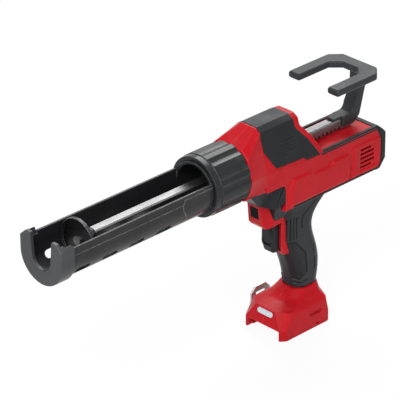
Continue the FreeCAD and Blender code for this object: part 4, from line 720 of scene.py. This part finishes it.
def grip_depths(points):
    """How deep the mould goes, in millimetres, at (x, y, z) points on the sleeve's sides."""
    side = points[:, (0, 2)]
    away = np.min([line_distance(side, line) for line in GRIP_LINES], axis=0)
    edge = line_distance(side, PALM_EDGE)
    panel = np.where(inside(side, PALM_PANEL), PANEL_DEPTH * smooth_step(edge), 0)
    lines = LINE_DEPTH * smooth_step(LINE_SLOPE - away / LINE_HALF)
    return np.maximum(panel, lines) * side_share(points)


def grip_points(shape):
    """Sleeve's points in millimetres from the rod's axis, their normals, and which face out."""
    shape.normal_update()
    points = np.array([vert.co for vert in shape.verts])
    normals = np.array([vert.normal for vert in shape.verts])
    local = (points - (0, 0, ROD_HEIGHT)) / MM
    heights, middles = zip(*reversed(GRIP_MIDDLE))
    middle = np.stack([np.interp(local[:, 2], heights, middles), 0 * local[:, 2]], 1)
    return local, normals, (normals[:, :2] * (local[:, :2] - middle)).sum(1) > 0


def sculpted_sleeve():
    """Fine, even copy of the sleeve with its outer face pressed in along the moulded lines."""
    blank = in_scene("sleeve_blank", to_mesh("sleeve_blank", merged_copy("grip_sleeve")))
    fine = blank.modifiers.new("even", "REMESH")
    fine.mode = "VOXEL"
    fine.voxel_size = SLEEVE_VOXEL * 1.0
    calm = blank.modifiers.new("calm", "SMOOTH")
    calm.factor = CALM_SHARE
    calm.iterations = CALM_PASSES
    mesh = settled(blank)
    shape = bmesh.new()
    shape.from_mesh(mesh)
    local, _, outside = grip_points(shape)
    away = np.min([line_distance(local[:, (0, 2)], line) for line in GRIP_LINES], axis=0)
    near = outside & (away < FINE_REACH) & (np.abs(local[:, 1]) > SIDE_START)
    edges = [edge for edge in shape.edges if all(near[vert.index] for vert in edge.verts)]
    bmesh.ops.subdivide_edges(shape, edges=edges, cuts=1, use_grid_fill=True)
    shape.verts.index_update()
    local, normals, outside = grip_points(shape)
    depth = np.where(outside, grip_depths(local), 0)
    # This depth is also what the grip's finish darkens as painted shade in the lines and panels.
    pressed = shape.verts.layers.float.new("pressed")
    for vert, amount, normal in zip(shape.verts, depth, normals):
        vert.co -= Vector(normal) * (amount * MM)
        vert[pressed] = min(1.0, amount / LINE_DEPTH)
    shape.to_mesh(mesh)
    shape.free()
    piece = finished("grip_sleeve_moulded", mesh, GRIP, "tool_body")
    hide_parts("grip_sleeve")


# Screws with a six-lobed driver recess

# Sizes in millimetres; a screw is its shank's radius and length, its head's radius and height
HOUSING_SCREW = (1.5, 20.0, 2.9, 2.4)
HOOK_SCREW = (1.63, 8.4, 3.3, 2.5)
SCREW_SIDES = 36
SCREW_LOBES = 6
HEAD_DROP = 0.5             # height and width of the head's sloping rim
HEAD_STEP = 0.4
RECESS_DEPTH = 1.4
RECESS_TAPER = 0.15
LOBE_MOUTH = 0.22
LOBE_FLOOR = 0.2


def screw_rings(shank, length, head, height):
    """Radius, place along the screw and depth of lobes of each ring of points, in millimetres."""
    return ((shank, length, 0), (shank, 0, 0), (head, 0, 0), (head, HEAD_DROP - height, 0),
            (head - HEAD_STEP, -height, 0), (head / 2, -height, LOBE_MOUTH),
            (head / 2 - RECESS_TAPER, RECESS_DEPTH - height, LOBE_FLOOR))


def unit_screw(sizes):
    """Screw along Y, its head towards -Y and its seat at the origin."""
    screw = bmesh.new()
    rings = []
    for radius, along, lobes in screw_rings(*sizes):
        ring = []
        for i in range(SCREW_SIDES):
            angle = 2 * math.pi * i / SCREW_SIDES
            reach = (radius + lobes * math.cos(SCREW_LOBES * angle)) * MM
            spot = reach * math.cos(angle), along * MM, reach * math.sin(angle)
            ring.append(screw.verts.new(spot))
        rings.append(ring)
    for first, second in zip(rings, rings[1:]):
        for i in range(SCREW_SIDES):
            j = (i + 1) % SCREW_SIDES
            screw.faces.new((first[i], first[j], second[j], second[i]))
    screw.faces.new(rings[0])
    screw.faces.new(rings[-1])
    bmesh.ops.recalc_face_normals(screw, faces=screw.faces)
    return in_scene("unit_screw", to_mesh("unit_screw", screw))


def screw_places(node, height):
    """Seat of each screw in a CAD node, for a head of the given height."""
    shape = merged_copy(node)
    left = set(shape.verts)
    places = []
    while left:
        group, waiting = set(), [left.pop()]
        while waiting:
            vert = waiting.pop()
            group.add(vert)
            near = {other for link in vert.link_edges for other in link.verts} & left
            left -= near
            waiting += near
        low = [min(v.co[i] for v in group) for i in range(3)]
        high = [max(v.co[i] for v in group) for i in range(3)]
        seat = (low[0] + high[0]) / 2, low[1] + height * MM, (low[2] + high[2]) / 2
        places.append((seat, (1, 1, 1)))
    shape.free()
    return sorted(places)


def screws(node, sizes):
    """Stands for a node of screws, each with its driver recess."""
    unit = unit_screw(sizes)
    name = node + "_turned"
    finish = FINISHES["hardware_steel"]
    mesh = copies(name, unit, screw_places(node, sizes[-1]), finish)
    bpy.data.objects.remove(unit)
    piece = finished(name, mesh, finish, "tool_body")
    for face in piece.data.polygons:
        face.use_smooth = False
    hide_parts(node)


# Trigger spring


def trigger_spring():
    """Coil of the trigger spring, riding on the tool body with its own copy of the mesh."""
    name = "trigger_spring_coil"
    slot = NODE_SLOT["trigger_spring"]
    mesh = to_mesh(name, merged_copy("trigger_spring"))
    piece = finished(name, mesh, FINISHES[slot], "tool_body")
    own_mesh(piece)
    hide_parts("trigger_spring")


# Dressing

FOOT_TOP = 52.0 * MM
BODY_DECK = ROD_HEIGHT - 8.0 * MM
SHELL_ROUND = 4.0 * MM              # the foot's slopes
FOOT_EDGE_ROUND = 1.5 * MM
HUMP_ROUND = 1.6 * MM
BODY_ROUND = 0.8 * MM
COVER_ROUND = 0.8 * MM
CRADLE_ROUND = 0.7 * MM
SLOPE_ANGLE = math.radians(55)
SHELL_LEAST = 14                    # EDGE_LEAST for the shells
RINGS_START, RINGS_END, RINGS_STEP = 186, 346, 3    # along the cradle's slots, in millimetres


def shell_softness(spot, angle):
    """Rounding of a shell edge: broad on the foot's slopes, wider on the hump than on the body."""
    if spot.z < FOOT_TOP:
        return SHELL_ROUND if angle < SLOPE_ANGLE else FOOT_EDGE_ROUND
    return HUMP_ROUND if spot.z > BODY_DECK else BODY_ROUND


CRADLE_RINGS = [x * MM for x in range(RINGS_START, RINGS_END, RINGS_STEP)]
SOFT = FINISHES["soft_grip"]
for shell in ("housing_left", "housing_right"):
    dressed(shell, "tool_body", FINISHES["red_shell"], SHELL_ROUND, least=SHELL_LEAST,
            softness=shell_softness)
dressed("hump_cover", "tool_body", SOFT, COVER_ROUND, shape=grooved_cover())
dressed("cradle", "cartridge_cradle", FINISHES["black_plastic"], CRADLE_ROUND, rings=CRADLE_RINGS)
# Node, body, finish, rounding in millimetres and its segments
for node, body, finish, rounding, segments in (
        ("rear_bumper", "tool_body", SOFT, 1.2, 3),
        ("nose_pad", "tool_body", SOFT, 0.8, 3),
        ("lock_collar", "lock_collar", COLLAR, 0.5, 2),
        ("nozzle_cap", "cartridge_cradle", CAP_PAINTED_LIGHT, 0.8, 3),
        ("push_rod", "push_rod", FINISHES["rod_steel"], 0.25, 2),
        ("plunger", "push_rod", PLUNGER, 0.5, 2),
        ("pull_handle", "push_rod", HANDLE, 1.6, 3),
        ("trigger", "trigger", SOFT, 3.2, 4),
        ("belt_hook", "tool_body", HOOK, 0.6, 2),
        ("status_window", "tool_body", WINDOW, 0.5, 2),
        ("work_light_lens", "tool_body", FINISHES["clear_lens"], 0.5, 2)):
    dressed(node, body, finish, rounding * MM, segments)
sculpted_sleeve()
screws("housing_screws", HOUSING_SCREW)
screws("belt_hook_screw", HOOK_SCREW)
trigger_spring()


# Stage, lights and camera

FLOOR_HALF = 6.0
FLOOR_DROP = 0.2 * MM
FLOOR_COLOUR = (0.9, 0.9, 0.9, 1)
FLOOR_ROUGH = 0.9
FLOOR_GLOW = 0.92                   # share of plain white in the floor; the rest takes shadows
WHITE = (1, 1, 1, 1)
FILL_LIGHT = 0.16
BACKDROP = 1.0
# Name, place and size in metres, and power in watts
SOFTBOXES = (("rear_overhead", (-0.9, -0.7, 1.5), (1.2, 1.0), 24.0),
             ("left_key", (0.6, 2.0, 1.0), (1.0, 1.0), 12.0),
             ("front_overhead", (1.6, 0.7, 1.7), (0.9, 0.9), 40.0))
LAMP_AIM = Vector((0.1, 0.0, 0.16))
CAMERA_PLACE = (2.0025, 1.9375, 1.6220)
CAMERA_RIGHT = Vector((-0.71649, 0.69756, -0.00772))
CAMERA_UP = Vector((-0.33024, -0.32942, 0.88455))
LENS_LENGTH = 261.0                 # focal length and film width, in millimetres
FILM_WIDTH = 36.0
CAMERA_REACH = 50.0


def seen_directly(tree):
    """1 for rays from the camera, from a gloss or through a clear piece, 0 for soft light."""
    path = tree.nodes.new("ShaderNodeLightPath").outputs
    bounced = maths(tree, "MAXIMUM", path["Is Glossy Ray"], path["Is Transmission Ray"])
    return maths(tree, "MAXIMUM", path["Is Camera Ray"], bounced)


def mixed(tree, share, first, second, end):
    """Leads a mix of two shaders to a tree's output."""
    mix = tree.nodes.new("ShaderNodeMixShader")
    tree.links.new(share, mix.inputs[0])
    tree.links.new(first.outputs[0], mix.inputs[1])
    tree.links.new(second.outputs[0], mix.inputs[2])
    tree.links.new(mix.outputs[0], tree.nodes[end].inputs["Surface"])


def stage_floor():
    """Wide white floor that keeps a soft shadow."""
    mesh = bpy.data.meshes.new("studio_floor")
    corners = [(-1, -1), (1, -1), (1, 1), (-1, 1)]
    mesh.from_pydata([(x * FLOOR_HALF, y * FLOOR_HALF, 0) for x, y in corners], [], [(0, 1, 2, 3)])
    floor = in_scene("studio_floor", mesh)
    floor.location.z = -FLOOR_DROP
    material, tree, shader = new_finish("studio_floor_white")
    shader.inputs["Base Color"].default_value = FLOOR_COLOUR
    shader.inputs["Roughness"].default_value = FLOOR_ROUGH
    glow = tree.nodes.new("ShaderNodeEmission")
    share = maths(tree, "MULTIPLY", seen_directly(tree), FLOOR_GLOW)
    mixed(tree, share, shader, glow, "Material Output")
    mesh.materials.append(material)


def studio_world():
    """Dim even light, seen as plain white."""
    world = bpy.data.worlds.new("studio")
    bpy.context.scene.world = world
    world.use_nodes = True
    tree = world.node_tree
    soft = tree.nodes["Background"]
    white = tree.nodes.new("ShaderNodeBackground")
    for light, strength in ((soft, FILL_LIGHT), (white, BACKDROP)):
        light.inputs["Color"].default_value = WHITE
        light.inputs["Strength"].default_value = strength
    mixed(tree, seen_directly(tree), soft, white, "World Output")


def softbox(name, spot, size, power):
    lamp = bpy.data.lights.new(name, "AREA")
    lamp.shape = "RECTANGLE"
    lamp.size, lamp.size_y = size
    lamp.energy = power
    holder = in_scene(name, lamp)
    holder.location = spot
    holder.rotation_mode = "QUATERNION"
    holder.rotation_quaternion = (LAMP_AIM - Vector(spot)).to_track_quat("-Z", "Y")


def studio_camera():
    lens = bpy.data.cameras.new("photo_camera")
    lens.lens = LENS_LENGTH
    lens.sensor_width = FILM_WIDTH
    lens.clip_end = CAMERA_REACH
    holder = in_scene("photo_camera", lens)
    axes = Matrix((CAMERA_RIGHT, CAMERA_UP, CAMERA_RIGHT.cross(CAMERA_UP))).transposed()
    holder.matrix_world = Matrix.Translation(CAMERA_PLACE) @ axes.to_4x4()
    bpy.context.scene.camera = holder


stage_floor()
studio_world()
for lamp_row in SOFTBOXES:
    softbox(*lamp_row)
studio_camera()
bpy.context.scene.view_settings.view_transform = "Standard"

for node, holder in frame["nodes"].items():
    if not holder.hide_render:
        holder.data.materials.clear()
        holder.data.materials.append(FINISHES.get(NODE_SLOT.get(node), FINISHES["gear_steel"]))
